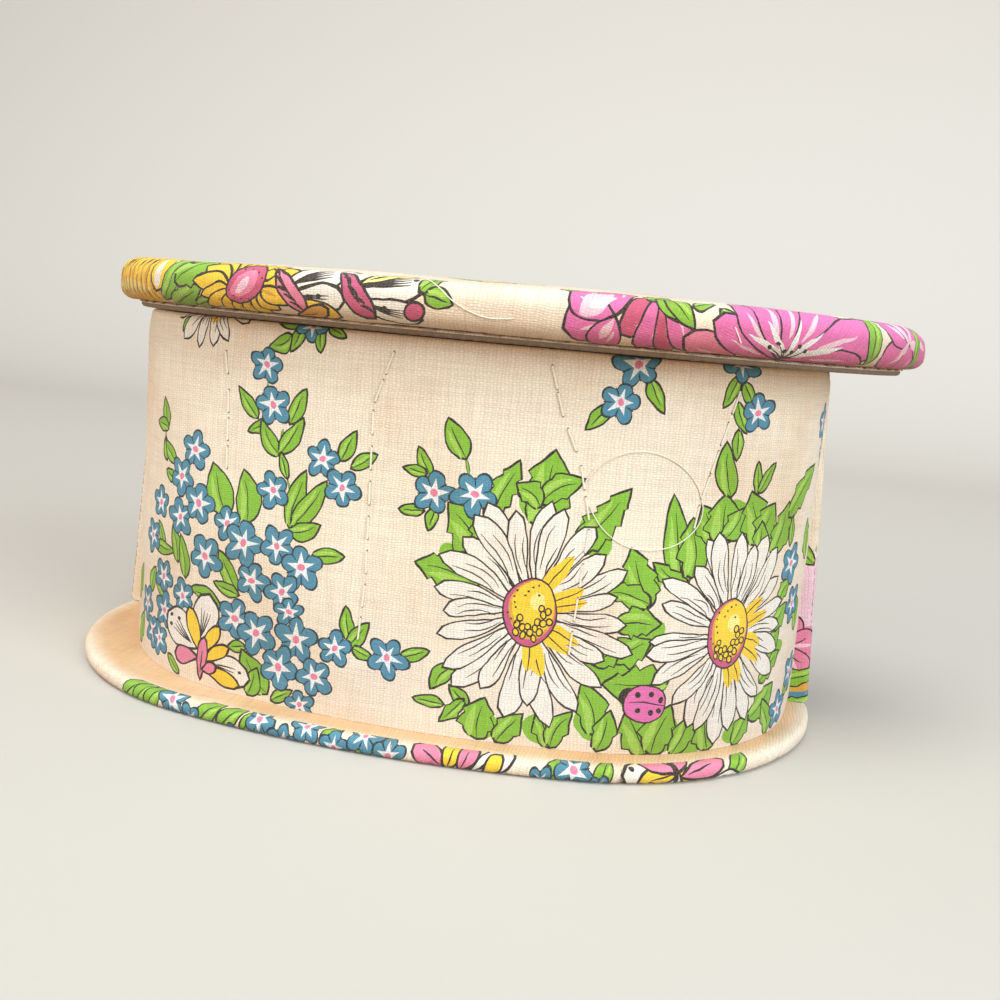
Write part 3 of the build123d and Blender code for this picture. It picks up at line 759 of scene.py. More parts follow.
STEMS = (
    (-19.6, 41.2, -20.9, 45.2, 0.2), (-18.5, 33.0, -19.6, 41.2, -0.5), (-20.6, 49.0, -20.6, 45.0, 0.0),
    (52.4, 59.6, 53.0, 55.8, 0.3), (52.6, 51.4, 52.9, 45.4, 0.2), (10.3, 48.0, 10.9, 45.8, 0.1),
    (-47.0, 40.0, -48.0, 46.0, 0.4), (-23.6, 49.8, -24.2, 56.4, 0.2), (52.2, 63.8, 52.0, 60.0, 0.0),
    (-8.9, 14.0, -6.2, 15.6, 0.3), (-3.0, 14.0, -5.4, 14.6, 0.2),
)


def wall_print():
    """The wall's print: forget-me-nots, two daisies, a butterfly and a ladybird among leaves."""
    drawn = []
    for place in STEMS:
        drawn += stem(*place[:4], bow=place[4], width=0.4)
    for x, y, radius_x, radius_y in GREEN_GROUND:
        drawn.append(("green", oval(x, y, radius_x, radius_y, 12 * x, 18)))
    for i, (x0, y0, x1, y1, width, teeth) in enumerate(LEAVES):
        bow = 0.6 * sin(2.3 * i) if width > 2.5 else 0.0
        drawn += leaf(x0, y0, x1, y1, width * (1.16 if teeth else 1.0), teeth, bow)
    turn = 90.0
    for x, y, radius in FORGET_ME_NOTS:
        turn += 47
        drawn += forget_me_not(x, y, radius * 1.08, turn)
    drawn += daisy(22.3, 24.9, 16.4, 18.3, 4.1, 5.4, 25, 4)
    drawn += daisy(56.0, 22.7, 14.8, 18.2, 4.1, 5.7, 24, 9)
    drawn += daisy(-37.0, 71.6, 11.0, 11.4, 3.0, 3.4, 18, 3)
    drawn += daisy(-77.0, 24.0, 11.0, 13.0, 3.4, 4.2, 20, 12)
    drawn += ladybird(42.0, 11.4, 3.5)
    drawn += wing(-36.6, 9.0, -44.4, 13.6, 6.4, "white", ((0.8, 0.2, 0.5), (0.66, -0.2, 0.45), (0.9, -0.05, 0.5)), 4)
    drawn += wing(-36.0, 9.4, -33.8, 19.0, 5.6, "white", (), 4)
    drawn += wing(-35.4, 8.6, -38.6, 15.6, 2.6, "yellow", (), 0)
    drawn += wing(-35.0, 8.6, -31.4, 13.6, 2.4, "yellow", (), 0)
    drawn += wing(-34.4, 7.2, -24.8, 6.0, 5.0, "white", ((0.8, 0.1, 0.4),), 3)
    drawn += wing(-34.6, 7.6, -29.4, 10.4, 2.0, "yellow", (), 0)
    drawn += wing(-34.6, 6.4, -27.0, 4.2, 2.2, "yellow", (), 0)
    drawn += wing(-36.2, 7.4, -41.6, 7.0, 2.8, "pink", (), 0)
    drawn += wing(-35.4, 3.8, -34.6, 11.2, 2.0, "pink", (), 1)
    drawn += wing(-34.6, 5.6, -32.0, 6.8, 1.8, "pink", (), 0)
    return drawn


# ---- Meshes


def painted(polygons, middles):
    """Number of the last polygon over each of the middles, from 1; 0 where there is none."""
    order = numpy.argsort(middles[:, 0], kind="stable")
    across, up = middles[order, 0], middles[order, 1]
    top = numpy.zeros(len(middles), dtype=int)
    for number, polygon in enumerate(polygons, 1):
        corners = numpy.array(polygon)
        first, last = numpy.searchsorted(across, (corners[:, 0].min(), corners[:, 0].max()))
        x, y = across[first:last], up[first:last]
        odd = numpy.zeros(len(x), dtype=bool)
        for (x0, y0), (x1, y1) in zip(corners, numpy.roll(corners, -1, axis=0)):
            if y0 != y1:
                odd ^= ((y0 > y) != (y1 > y)) & (x < (x1 - x0) * (y - y0) / (y1 - y0) + x0)
        top[order[first:last][odd]] = number
    return top


def cut_cloth(outline, drawn, guide_points, ground="cream"):
    """Cuts flat cloth along the edges of its print: points, triangles and the ink of each."""
    points = [Vector(p) for p in outline]
    rings = [list(range(len(points)))]
    for _, polygon in drawn:
        start = len(points)
        turning = sum(a[0] * b[1] - b[0] * a[1] for a, b in zip(polygon, polygon[1:] + polygon[:1]))
        points += [Vector(p) for p in (polygon if turning > 0 else polygon[::-1])]
        rings.append(list(range(start, len(points))))
    points += [Vector(p) for p in guide_points]
    flat, _, faces, _, _, _ = delaunay_2d_cdt(points, [], rings, 0, 1e-4)
    middles = numpy.array([[sum(flat[i][axis] for i in face) / 3 for axis in (0, 1)] for face in faces])
    within = painted([outline], middles)
    inks = painted([polygon for _, polygon in drawn], middles)
    names = [ground] + [ink for ink, _ in drawn]
    kept = [(face, names[ink]) for face, ink, cloth in zip(faces, inks, within) if cloth]
    used = sorted({i for face, _ in kept for i in face})
    number = {old: new for new, old in enumerate(used)}
    flat = [tuple(flat[i]) for i in used]
    triangles = [[number[i] for i in face] for face, _ in kept]
    return flat, triangles, [ink for _, ink in kept]


def slope_normal(place, u, v, step=0.25):
    """The surface's outward normal, from its slopes."""
    here = Vector(place(u, v))
    along = Vector(place(u + step, v)) - Vector(place(u - step, v))
    up = Vector(place(u, v + step)) - Vector(place(u, v - step))
    normal = along.cross(up)
    return (normal.normalized() if normal.length > 1e-9 else Vector((0, 0, 1))), here


def dulling(share, tone):
    """Channel by channel, what is left of a colour that is dulled, by a stain or by painted shade, to a share of a
    tone.
    """
    return [1 - share * (1 - value) for value in tone]


def cloth_piece(name, flat, triangles, inks, place, material, body, flip=False, stain_and_shade=None):
    """A piece of cloth laid in space: its flat pattern is its weave's map, and its inks lie face by
    face. Its last argument gives, at (u, v), what is left of each channel where the cloth is stained
    or has painted shade."""
    points, normals = [], []
    for u, v in flat:
        normal, here = slope_normal(place, u, v)
        points.append(here * MM)
        normals.append(-normal if flip else normal)
    if flip:
        triangles = [face[::-1] for face in triangles]
    mesh = bpy.data.meshes.new(name)
    mesh.from_pydata(points, [], triangles)
    weave = mesh.uv_layers.new(name="cloth")
    for loop in mesh.loops:
        weave.data[loop.index].uv = flat[loop.vertex_index]
    if inks:
        paint = mesh.color_attributes.new("ink", "FLOAT_COLOR", "CORNER")
        dimmed = [stain_and_shade(u, v) if stain_and_shade else (1.0, 1.0, 1.0) for u, v in flat]
        for polygon, ink in zip(mesh.polygons, inks):
            for loop in polygon.loop_indices:
                kept = dimmed[mesh.loops[loop].vertex_index]
                paint.data[loop].color = (*[value * left for value, left in zip(INKS[ink], kept)], 1.0)
    mesh.shade_smooth()
    mesh.normals_split_custom_set_from_vertices(normals)
    mesh.materials.append(material)
    piece = bpy.data.objects.new(name, mesh)
    bpy.context.scene.collection.objects.link(piece)
    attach(piece, body)
    return piece


def grid(u0, u1, v0, v1, step_u, step_v):
    """Guide points inside a rectangle."""
    columns = max(1, round((u1 - u0) / step_u))
    rows = max(1, round((v1 - v0) / step_v))
    return [
        (u0 + (u1 - u0) * i / columns, v0 + (v1 - v0) * j / rows)
        for i in range(1, columns)
        for j in range(1, rows)
    ]


def rectangle(u0, u1, v0, v1, step):
    """The outline of a rectangle with points along its sides."""
    columns = max(1, round((u1 - u0) / step))
    rows = max(1, round((v1 - v0) / step))
    bottom = [(u0 + (u1 - u0) * i / columns, v0) for i in range(columns)]
    right = [(u1, v0 + (v1 - v0) * j / rows) for j in range(rows)]
    top = [(u1 - (u1 - u0) * i / columns, v1) for i in range(columns)]
    left = [(u0, v1 - (v1 - v0) * j / rows) for j in range(rows)]
    return bottom + right + top + left


def grid_faces(columns, rows):
    """Quads of a grid whose points run row by row."""
    faces = []
    for j in range(rows - 1):
        for i in range(columns - 1):
            a = j * columns + i
            faces.append([a, a + 1, a + 1 + columns, a + columns])
    return faces


def wrapped(field, top, low, top_radius, low_radius, soft=None, sink=0.0):
    """The map of flat cloth over a plate: its face at the height top(x, y), then its rounded edge,
    its side and underneath. soft(x, y, travel) lets it stand out; sink draws it in."""
    def place(x, y):
        outside, nx, ny = field(x, y)
        travel = outside + top_radius
        if travel <= 0:
            return x, y, top(x, y) - sink
        edge_x, edge_y = x - nx * outside, y - ny * outside
        high = top(edge_x - nx * top_radius, edge_y - ny * top_radius)
        inset, z, tilt = rounded_edge(travel, high, low, top_radius, low_radius)
        out = (soft(edge_x, edge_y, travel) if soft else 0.0) - sink
        inset -= out * sin(tilt)
        z += out * cos(tilt)
        return edge_x - nx * inset, edge_y - ny * inset, z
    return place


def wrap_guides(field, middle, start, wrap, edge_step, step, face_step):
    """Guide points of wrapped cloth: close rings over its edge and a grid on its face."""
    guides = []
    out = start
    while out < wrap - edge_step * 0.6:
        guides += ring_at(field, middle, out, step)
        out += edge_step
    for i in range(-45, 46):
        for j in range(-45, 46):
            x, y = middle[0] + i * face_step, middle[1] + j * face_step
            if field(x, y)[0] < start - face_step * 0.5:
                guides.append((x, y))
    return guides


def stuffed(name, outline, guides, outer, inner, material, body, node_names):
    """A closed pad between two faces that share one flat pattern."""
    flat, triangles, _ = cut_cloth(outline, [], guides)
    count = len(flat)
    edges = {}
    for face in triangles:
        for i in range(3):
            pair = (face[i], face[(i + 1) % 3])
            edges[pair] = True
    rim = [pair for pair in edges if pair[::-1] not in edges]
    faces = [list(face) for face in triangles]
    faces += [[i + count for i in face[::-1]] for face in triangles]
    faces += [[b, a, a + count, b + count] for a, b in rim]
    points = [Vector(outer(*p)) * MM for p in flat] + [Vector(inner(*p)) * MM for p in flat]
    mesh = bpy.data.meshes.new(name)
    mesh.from_pydata(points, [], faces)
    mesh.shade_smooth()
    mesh.materials.append(material)
    piece = bpy.data.objects.new(name, mesh)
    bpy.context.scene.collection.objects.link(piece)
    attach(piece, body)
    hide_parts(*node_names)
    return piece


# Quilting rows, as points of (run, rise over the foot), as in the part's source
QUILTING_ROWS = (
    ((-34.9, 60.0), (-33.5, 52.0), (-33.1, 38.0)),
    ((-3.9, 61.0), (-6.8, 52.0), (-6.1, 24.0), (-6.7, 13.0)),
    ((20.5, 61.0), (23.1, 53.0), (26.3, 46.5), (28.7, 37.0), (27.5, 15.0)),
    ((51.0, 60.0), (48.3, 50.0), (46.1, 42.0), (45.3, 36.5)),
)
QUILTING_PITCH = 5.5
QUILTING_STITCH = 3.6


def quilting_points():
    """Where the quilting thread enters the wall's cloth, as (run, height)."""
    places = []
    for row in QUILTING_ROWS:
        for (run0, rise0), (run1, rise1) in zip(row, row[1:]):
            length = hypot(run1 - run0, rise1 - rise0)
            count = max(1, round(length / QUILTING_PITCH))
            for i in range(count):
                for end in (-0.5, 0.5):
                    t = (i + 0.5) / count + end * QUILTING_STITCH / length
                    places.append((run0 + (run1 - run0) * t, FOOT + rise0 + (rise1 - rise0) * t))
    return places


STITCHES = quilting_points()
WALL_RUN = front_run(BODY) + PANEL_FACE - 0.05 - (REAR - SIDE_RUN)
RIM_RADIUS = 0.9
WALL_RISE = RIM - FOOT - RIM_RADIUS


def wall_puff(run, height):
    """How far the wadded cloth stands out between its quilting rows, its ends, its foot and its rim."""
    soft = 0.30 + 0.22 * noise.noise(Vector((run * 0.05, height * 0.06, 2.0)))
    soft += 0.10 * noise.noise(Vector((run * 0.16, height * 0.05, 7.0)))
    near = 1e9
    for x, z in STITCHES:
        near = min(near, (x - run) ** 2 + (z - height) ** 2)
    soft *= 1.0 - 0.95 * 2.718 ** (-near / 7.0)
    ends = min(1.0, (WALL_RUN - abs(run)) / 5.0) * min(1.0, (height - FOOT) / 3.0 + 0.25)
    return max(0.0, soft) * ends * min(1.0, max(0.0, RIM - height) / 4.0)


def wall_place(run, v, inset=0.0, puff=wall_puff):
    """The wall's outer cloth: up the bow, over the rim and down inside."""
    if v <= WALL_RISE:
        x, y, nx, ny = front_point(BODY, run, inset, BODY_SHIFT)
        out = puff(run, FOOT + v)
        return x + nx * out, y + ny * out, FOOT + v
    travel = v - WALL_RISE
    quarter = RIM_RADIUS * pi / 2
    if travel < quarter:
        angle = travel / RIM_RADIUS
        deep, z = RIM_RADIUS * (1 - cos(angle)), RIM - RIM_RADIUS + RIM_RADIUS * sin(angle)
    elif travel < quarter + 1.0:
        deep, z = RIM_RADIUS + travel - quarter, RIM
    else:
        angle = min(pi / 2, (travel - quarter - 1.0) / 0.75)
        deep, z = RIM_RADIUS + 1.0 + 0.75 * sin(angle), RIM - 0.75 * (1 - cos(angle))
    x, y, _, _ = front_point(BODY, run, inset + deep, BODY_SHIFT)
    return x, y, z


def wall_dark_foot_and_painted_shade(run, v):
    """The wall's cloth is darker towards the bottom, and greyer up under the lid, where the grey is painted shade."""
    low = max(0.0, 1.0 - v / 30.0) * (0.8 + 0.5 * noise.noise(Vector((run * 0.06, v * 0.08, 12.0))))
    # Painted shade: the cloth greys towards the rim, in the shade under the lid.
    high = max(0.0, (v - 52.0) / 12.0)
    return [a * b for a, b in zip(dulling(min(1.0, low), (0.85, 0.83, 0.86)), dulling(min(1.0, high), (0.93, 0.9, 0.88)))]


def printed_wall():
    """The wall's printed cloth."""
    turned = RIM_RADIUS * pi / 2 + 1.0 + 0.75 * pi / 2
    top = WALL_RISE + turned
    outline = rectangle(-WALL_RUN, WALL_RUN, 0.0, top, 2.0)
    guides = grid(-WALL_RUN, WALL_RUN, 0.0, WALL_RISE, 1.5, 1.5)
    guides += grid(-WALL_RUN, WALL_RUN, WALL_RISE, top, 1.5, 0.3)
    for run, z in STITCHES:
        guides += [(run, z - FOOT), (run + 0.6, z - FOOT), (run - 0.6, z - FOOT)]
    drawn = moved(moved(wall_print(), by_hand), lambda x, y: (x - 1.5, y - FOOT))
    # Painted shade: small dark dots in the hollows where the quilting thread goes into the cloth.
    drawn += [("painted_shade", oval(run, z - FOOT, 0.2, 0.26, count=8)) for run, z in STITCHES]
    flat, triangles, inks = cut_cloth(outline, drawn, guides)
    piece = cloth_piece("wall_cover_cloth", flat, triangles, inks, wall_place, PRINTED, "box", False, wall_dark_foot_and_painted_shade)
    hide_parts("wall_cover")
    return piece


printed_wall()


# ---- Lid


def lid_top(x, y):
    """Height of the lid's padded top: a gentle crown with soft unevenness."""
    across = (x - LID_SHIFT) / LID[0]
    along = (y - (REAR - LID[1] / 2)) / (LID[1] / 2)
    wave = 0.25 * noise.noise(Vector((x * 0.045, y * 0.06, 4.0)))
    return LID_HIGH - 0.15 - LID_CROWN * (across**2 + along**2) + wave


def lid_gather(x, y, travel):
    """Small uneven swells and puckers of the cloth that is drawn round the lid's edge."""
    swell = 0.14 * noise.noise(Vector((x * 0.13, y * 0.13, 5.0)))
    pucker = 0.12 * noise.noise(Vector((x * 0.8, y * 0.8, 3.0)))
    return (swell + pucker * min(1.0, travel / 6.0)) * min(1.0, travel / 2.0)


LID_FIELD = plan_field(LID, LID_SHIFT, LID_BACK_RADIUS)
LID_MIDDLE = (LID_SHIFT, 0.0)
lid_place = wrapped(LID_FIELD, lid_top, LID_LOW, LID_TOP_RADIUS, LID_BOTTOM_RADIUS, lid_gather)
LID_WRAP = LID_TOP_RADIUS * pi / 2 - LID_TOP_RADIUS + 1.6 + LID_BOTTOM_RADIUS * pi / 2 + 7.8


def on_lid_edge(run, z):
    """Where a point at a run and a height on the lid's side lies on its flat cloth."""
    run -= 1.7
    edge_x, edge_y, nx, ny = front_point(LID, run, 0.0, LID_SHIFT)
    top = lid_top(edge_x - nx * LID_TOP_RADIUS, edge_y - ny * LID_TOP_RADIUS)
    if z > top - LID_TOP_RADIUS:
        travel = (top - z) * pi / 2
    else:
        travel = LID_TOP_RADIUS * pi / 2 + top - LID_TOP_RADIUS - z
    out = travel - LID_TOP_RADIUS
    return edge_x + nx * out, edge_y + ny * out


def lid_edge_print():
    """What the photograph shows round the lid's front edge, by run and height."""
    drawn = []
    drawn.append(("yellow", rectangle(-82.0, -50.0, 65.4, 78.6, 3.0)))
    drawn.append(("pale_yellow", blade(-74, 69.6, -52, 69.4, 3.0)))
    for i in range(15):
        run = -79.0 + i * 2.15
        drawn.append(("ochre", brush(bowed(run - 0.8, 78.0, run + 0.8, 65.6, -1.4, 8), 0.8)))
        drawn.append(("line", brush(bowed(run - 0.3, 77.4, run + 1.2, 66.4, -1.4, 8), 0.2)))
    drawn.append(("line", blade(-50.6, 69.4, -49.4, 76.6, 4.6, LINE)))
    drawn.append(("yellow", blade(-50.6, 69.4, -49.4, 76.6, 4.6)))
    drawn.append(("white", blade(-50.4, 69.6, -50.6, 74.0, 1.8)))
    for x0, z0, x1, z1, width, teeth in (
        (-48.6, 68.0, -43.6, 75.6, 3.6, 0), (-47.0, 66.6, -39.0, 70.4, 4.4, 2), (-45.2, 71.0, -36.6, 75.4, 4.6, 3),
        (-43.6, 73.6, -41.4, 77.4, 3.0, 0), (-40.6, 67.4, -36.2, 68.6, 2.6, 2), (-39.0, 76.0, -33.4, 76.8, 2.6, 0),
    ):
        drawn += leaf(x0, z0, x1, z1, width, teeth)
    for i in range(18):
        a = 2 * pi * i / 18
        reach = 1.0 if i % 2 else 0.88
        foot = (-30.4 + 3.0 * cos(a), 71.2 + 2.0 * sin(a))
        tip = (-30.8 + 9.6 * reach * cos(a), 71.2 + 6.0 * reach * sin(a))
        drawn.append(("line", blade(*foot, *tip, 2.5, LINE)))
        drawn.append(("yellow", blade(*foot, *tip, 2.5)))
        drawn.append(("ochre", brush(bowed(*foot, (foot[0] + tip[0]) / 2, (foot[1] + tip[1]) / 2, 0.2), 0.5)))
    drawn.append(("line", oval(-30.4, 71.2, 3.9, 2.6, 30)))
    drawn.append(("rose", oval(-30.4, 71.2, 3.6, 2.3, 30)))
    drawn.append(("pink", oval(-30.7, 71.3, 2.6, 1.4, 30)))
    drawn.append(("pale_pink", oval(-31.0, 71.2, 1.5, 0.6, 40)))
    for i in range(14):
        a = 2 * pi * i / 14
        drawn.append(("line", oval(-30.4 + 3.2 * cos(a), 71.2 + 2.0 * sin(a), 0.16, count=6)))
    drawn += wing(-23.5, 71.0, -13.0, 75.0, 4.6, "white", ((0.8, 0.1, 0.6),), 5)
    drawn += wing(-22.0, 70.4, -13.2, 70.2, 3.4, "white", ((0.3, 0.0, 0.5), (0.5, 0.1, 0.5)), 3)
    drawn += wing(-22.0, 69.4, -14.0, 67.6, 2.8, "yellow", (), 2)
    drawn += wing(-25.6, 73.6, -19.6, 67.8, 2.6, "pink", (), 1)
    drawn += wing(-21.6, 66.4, -16.0, 68.8, 2.4, "ochre", (), 1)
    for t in range(5):
        drawn.append(("line", brush(bowed(-26.4 + t, 73.6 - t * 1.1, -24.6 + t * 1.1, 72.6 - t * 1.1, 0.2), 0.5)))
    drawn += wing(-12.0, 71.6, 0.4, 74.2, 4.4, "white", ((0.75, 0.0, 0.5),), 5)
    drawn += wing(-11.0, 70.2, -1.0, 68.6, 3.4, "white", ((0.4, 0.1, 0.4),), 4)
    drawn += wing(-10.6, 72.4, -4.0, 76.2, 2.4, "pale_yellow", (), 2)
    drawn += wing(-15.0, 74.4, -8.6, 68.2, 2.8, "rose", (), 1)
    for t in range(5):
        drawn.append(("line", brush(bowed(-15.2 + t * 1.2, 74.2 - t * 1.1, -13.4 + t * 1.2, 73.0 - t, 0.2), 0.5)))
    drawn.append(("line", oval(-2.2, 69.6, 1.9, 1.6, 20)))
    drawn.append(("rose", oval(-2.2, 69.6, 1.5, 1.2, 20)))
    drawn += leaf(-1.6, 72.2, 1.0, 75.0, 2.4)
    drawn += leaf(-0.6, 71.8, 3.2, 70.9, 2.2)
    drawn += leaf(18.6, 75.4, 24.0, 74.0, 2.2)
    def petal(x0, z0, x1, z1, width, ink="magenta", streaks=2):
        """A broad petal with pale streaks."""
        drawn.append(("line", blade(x0, z0, x1, z1, width, LINE, bluntness=0.5, lean=1.5)))
        drawn.append((ink, blade(x0, z0, x1, z1, width, bluntness=0.5, lean=1.5)))
        nx, nz = -(z1 - z0), x1 - x0
        length = hypot(nx, nz)
        for k in range(streaks):
            off = width * (0.16 - 0.34 * k) / length
            drawn.append(("pale_pink", blade(
                x0 + (x1 - x0) * 0.3 + nx * off, z0 + (z1 - z0) * 0.3 + nz * off,
                x0 + (x1 - x0) * 0.75 + nx * off, z0 + (z1 - z0) * 0.75 + nz * off, width * 0.11)))
    petal(26.4, 71.6, 20.0, 69.4, 5.6)
    petal(26.4, 71.6, 20.4, 74.6, 5.4)
    petal(27.0, 71.8, 27.2, 78.0, 5.8)
    petal(26.8, 71.4, 24.6, 66.2, 4.6, "magenta", 1)
    drawn.append(("pale_pink", blade(21.6, 71.2, 26.8, 74.6, 2.6)))
    drawn.append(("white", blade(23.0, 72.0, 27.0, 73.6, 1.1)))
    drawn.append(("pale_pink", blade(24.8, 68.0, 26.8, 71.4, 1.3)))
    petal(33.6, 75.0, 28.0, 69.4, 3.4, "rose", 1)
    petal(33.8, 75.2, 30.6, 66.6, 3.4, "magenta", 1)
    petal(34.0, 75.2, 34.2, 66.0, 3.2, "rose", 1)
    petal(34.2, 75.0, 37.2, 67.2, 3.2, "magenta", 1)
    petal(45.0, 66.4, 37.0, 69.4, 4.6, "pink", 1)
    drawn += leaf(31.6, 73.8, 34.8, 78.0, 3.4, 2)
    drawn += leaf(33.0, 75.0, 36.0, 71.6, 3.0)
    drawn += leaf(34.0, 75.0, 38.0, 71.0, 2.6)
    drawn += leaf(38.0, 73.2, 41.4, 74.6, 1.6)
    drawn += leaf(42.0, 73.0, 46.0, 70.0, 1.8)
    for tip, z, width in ((41.0, 71.6, 4.6), (44.6, 76.0, 5.6), (49.8, 78.4, 7.2), (56.0, 78.2, 7.0), (61.8, 75.6, 6.6),
                          (70.2, 72.0, 6.6), (68.0, 67.4, 4.6)):
        petal(52.4, 66.8, tip, z, width, "magenta", 1)
    for tip, z in ((49.0, 72.4), (54.6, 72.8), (58.6, 71.6), (62.6, 70.0), (46.2, 70.6)):
        drawn.append(("star", blade(52.4, 67.8, tip, z, 0.9)))
    for i in range(6):
        x, z = 49.6 + i * 1.2, 69.0 + 0.7 * sin(i * 1.9)
        drawn.append(("line", brush([(52.4, 67.0), ((52.4 + x) / 2, (67.4 + z) / 2), (x, z)], 0.22)))
        drawn.append(("line", oval(x, z, 0.36, count=8)))
    for tip, z, width in ((72.0, 68.0, 5.0), (73.0, 75.6, 5.6), (78.0, 78.4, 6.6), (92.0, 75.4, 7.4), (94.0, 69.0, 6.4),
                          (80.0, 65.4, 5.4), (86.0, 78.6, 6.6)):
        petal(81.6, 71.4, tip, z, width, "magenta", 1)
    for tip, z in ((76.0, 74.6), (76.4, 69.0), (84.0, 75.6), (87.0, 70.6)):
        drawn.append(("pale_pink", blade(80.8, 71.6, tip, z, 1.3)))
    drawn += leaf(84.0, 67.0, 87.0, 76.4, 2.8)
    drawn += leaf(66.0, 76.0, 71.0, 74.4, 3.2)
    drawn += leaf(70.4, 75.6, 69.0, 67.4, 3.0)
    return moved(moved(drawn, by_hand), on_lid_edge)


def lid_top_print():
    """The lid's top, which the photograph hides: flowers of the same kinds, spread over it."""
    drawn = []
    for x0, y0, x1, y1, width, teeth in (
        (-40, 4, -48, 12, 4, 3), (-38, 2, -36, 12, 4, 3), (-12, -12, -22, -16, 4, 3), (4, -10, 12, -18, 4, 3),
        (30, 10, 22, 18, 4, 3), (32, 8, 42, 16, 4, 3), (62, -2, 70, 6, 3.6, 3), (-6, 14, -14, 20, 3.6, 2),
        (56, 14, 64, 20, 3.6, 2), (-30, -12, -38, -6, 3.6, 2), (12, 4, 20, 10, 3.4, 2), (48, -14, 58, -16, 3.6, 3),
    ):
        drawn += leaf(x0, y0, x1, y1, width, teeth)
    drawn += big_flower(-32.0, 6.0, 10.5, 20, "magenta", 6, 2)
    drawn += big_flower(38.0, 2.0, 12.0, 50, "magenta", 6, 5)
    drawn += big_flower(64.0, 12.0, 9.0, 10, "pink", 5, 8)
    drawn += daisy(-4.0, -4.0, 13.0, 12.0, 3.4, 3.4, 20, 21)
    drawn += daisy(8.0, 20.0, 10.0, 9.0, 2.8, 2.6, 18, 25)
    drawn += big_flower(-52.0, 17.0, 9.0, 70, "yellow", 8, 3)
    drawn += butterfly(14.0, -12.0, 8.0, 30)
    drawn += butterfly(-14.0, 20.0, 7.0, -20, ("white", "pale_yellow", "rose"))
    for x, y, r in ((-20, -6, 3), (-16, -1, 3), (18, 14, 3.1), (24, 8, 3), (52, 20, 3), (48, 15, 3.1), (-44, -2, 3),
                    (56, -6, 3), (20, -4, 2.8), (-24, 18, 3), (30, 22, 3)):
        drawn += forget_me_not(x, y, r, 17 * r * x)
    drawn += ladybird(50.0, 5.0, 3.0)
    return drawn


def lid_painted_shade(x, y):
    """Painted shade: the lid's cloth is darker low on its side, where its rounded edge turns down away from the light.
    """
    travel = LID_FIELD(x, y)[0] + LID_TOP_RADIUS
    return dulling(min(1.0, max(0.0, (travel - 2.5) / 5.0)), (0.72, 0.62, 0.52))


def printed_lid():
    """The lid's printed cloth, one piece over the pad, round the edge and under the board."""
    outline = mitred(LID_FIELD, ring_at(LID_FIELD, LID_MIDDLE, LID_WRAP, 2.0), lid_place)
    guides = wrap_guides(LID_FIELD, LID_MIDDLE, -LID_TOP_RADIUS, LID_WRAP, 0.5, 1.7, 2.0)
    flat, triangles, inks = cut_cloth(outline, lid_top_print() + lid_edge_print(), guides)
    piece = cloth_piece("lid_cover_cloth", flat, triangles, inks, lid_place, PRINTED, "lid", False, lid_painted_shade)
    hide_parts("lid_cover")
    return piece


def lid_stuffing():
    """The lid's soft pad, between its board and its cloth."""
    outer = wrapped(LID_FIELD, lid_top, LID_LOW, LID_TOP_RADIUS, LID_BOTTOM_RADIUS, lid_gather, CLOTH)
    def inner(x, y):
        outside, nx, ny = LID_FIELD(x, y)
        inset = max(1.2, -outside)
        return x - nx * (outside + inset), y - ny * (outside + inset), BOARD_HIGH + 0.05
    wrap = LID_TOP_RADIUS * pi / 2 - LID_TOP_RADIUS + 1.2
    outline = ring_at(LID_FIELD, LID_MIDDLE, wrap, 3.0)
    guides = wrap_guides(LID_FIELD, LID_MIDDLE, -LID_TOP_RADIUS, wrap, 0.8, 3.0, 4.0)
    return stuffed("lid_pad_wadding", outline, guides, outer, inner, WADDING, "lid", ["lid_pad"])


printed_lid()
lid_stuffing()


def loose_thread(name, points, place, body, lift=0.2, radius=0.09):
    """A fine stray thread that lies on the cloth along points of its flat pattern."""
    curve = bpy.data.curves.new(name, "CURVE")
    curve.dimensions = "3D"
    curve.bevel_depth = radius * MM
    curve.bevel_resolution = 3
    spline = curve.splines.new("NURBS")
    spline.points.add(len(points) - 1)
    for point, (u, v) in zip(spline.points, points):
        normal, here = slope_normal(place, u, v)
        point.co = (*((here + normal * lift) * MM), 1.0)
    spline.order_u = 3
    spline.use_endpoint_u = True
    curve.materials.append(THREAD)
    piece = bpy.data.objects.new(name, curve)
    bpy.context.scene.collection.objects.link(piece)
    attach(piece, body)


LID_THREAD = ((-1.4, 74.0), (0.6, 73.0), (3.0, 71.6), (5.4, 70.6), (7.8, 69.8), (10.0, 69.6), (12.4, 69.9))
loose_thread("lid_loose_thread", [on_lid_edge(*p) for p in LID_THREAD], lid_place, "lid")
LID_THREAD = ((41.0, 75.2), (42.6, 73.4), (44.0, 71.4), (45.0, 69.4))
loose_thread("lid_loose_thread_right", [on_lid_edge(*p) for p in LID_THREAD], lid_place, "lid")
WALL_THREAD = (
    (27.4, 46.4), (28.6, 48.6), (31.6, 50.8), (35.4, 51.9), (39.4, 51.3), (43.2, 49.2), (46.0, 45.8), (46.8, 42.2),
    (45.4, 39.4), (42.4, 37.2), (38.6, 36.3), (34.8, 36.6), (31.8, 38.2), (29.6, 40.4), (28.4, 42.6),
)
loose_thread("wall_loose_thread", [(run, z - FOOT) for run, z in WALL_THREAD], wall_place, "box")


# ---- Lid liner


def plain_cloth(name, outline, guides, place, body, node_name, flip=False, drawn=()):
    """A piece of plain cotton on its card, with painted shade where something is drawn."""
    flat, triangles, inks = cut_cloth(outline, drawn, guides)
    piece = cloth_piece(name, flat, triangles, inks, place, SHADED_COTTON if drawn else PLAIN, body, flip)
    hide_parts(node_name)
    return piece


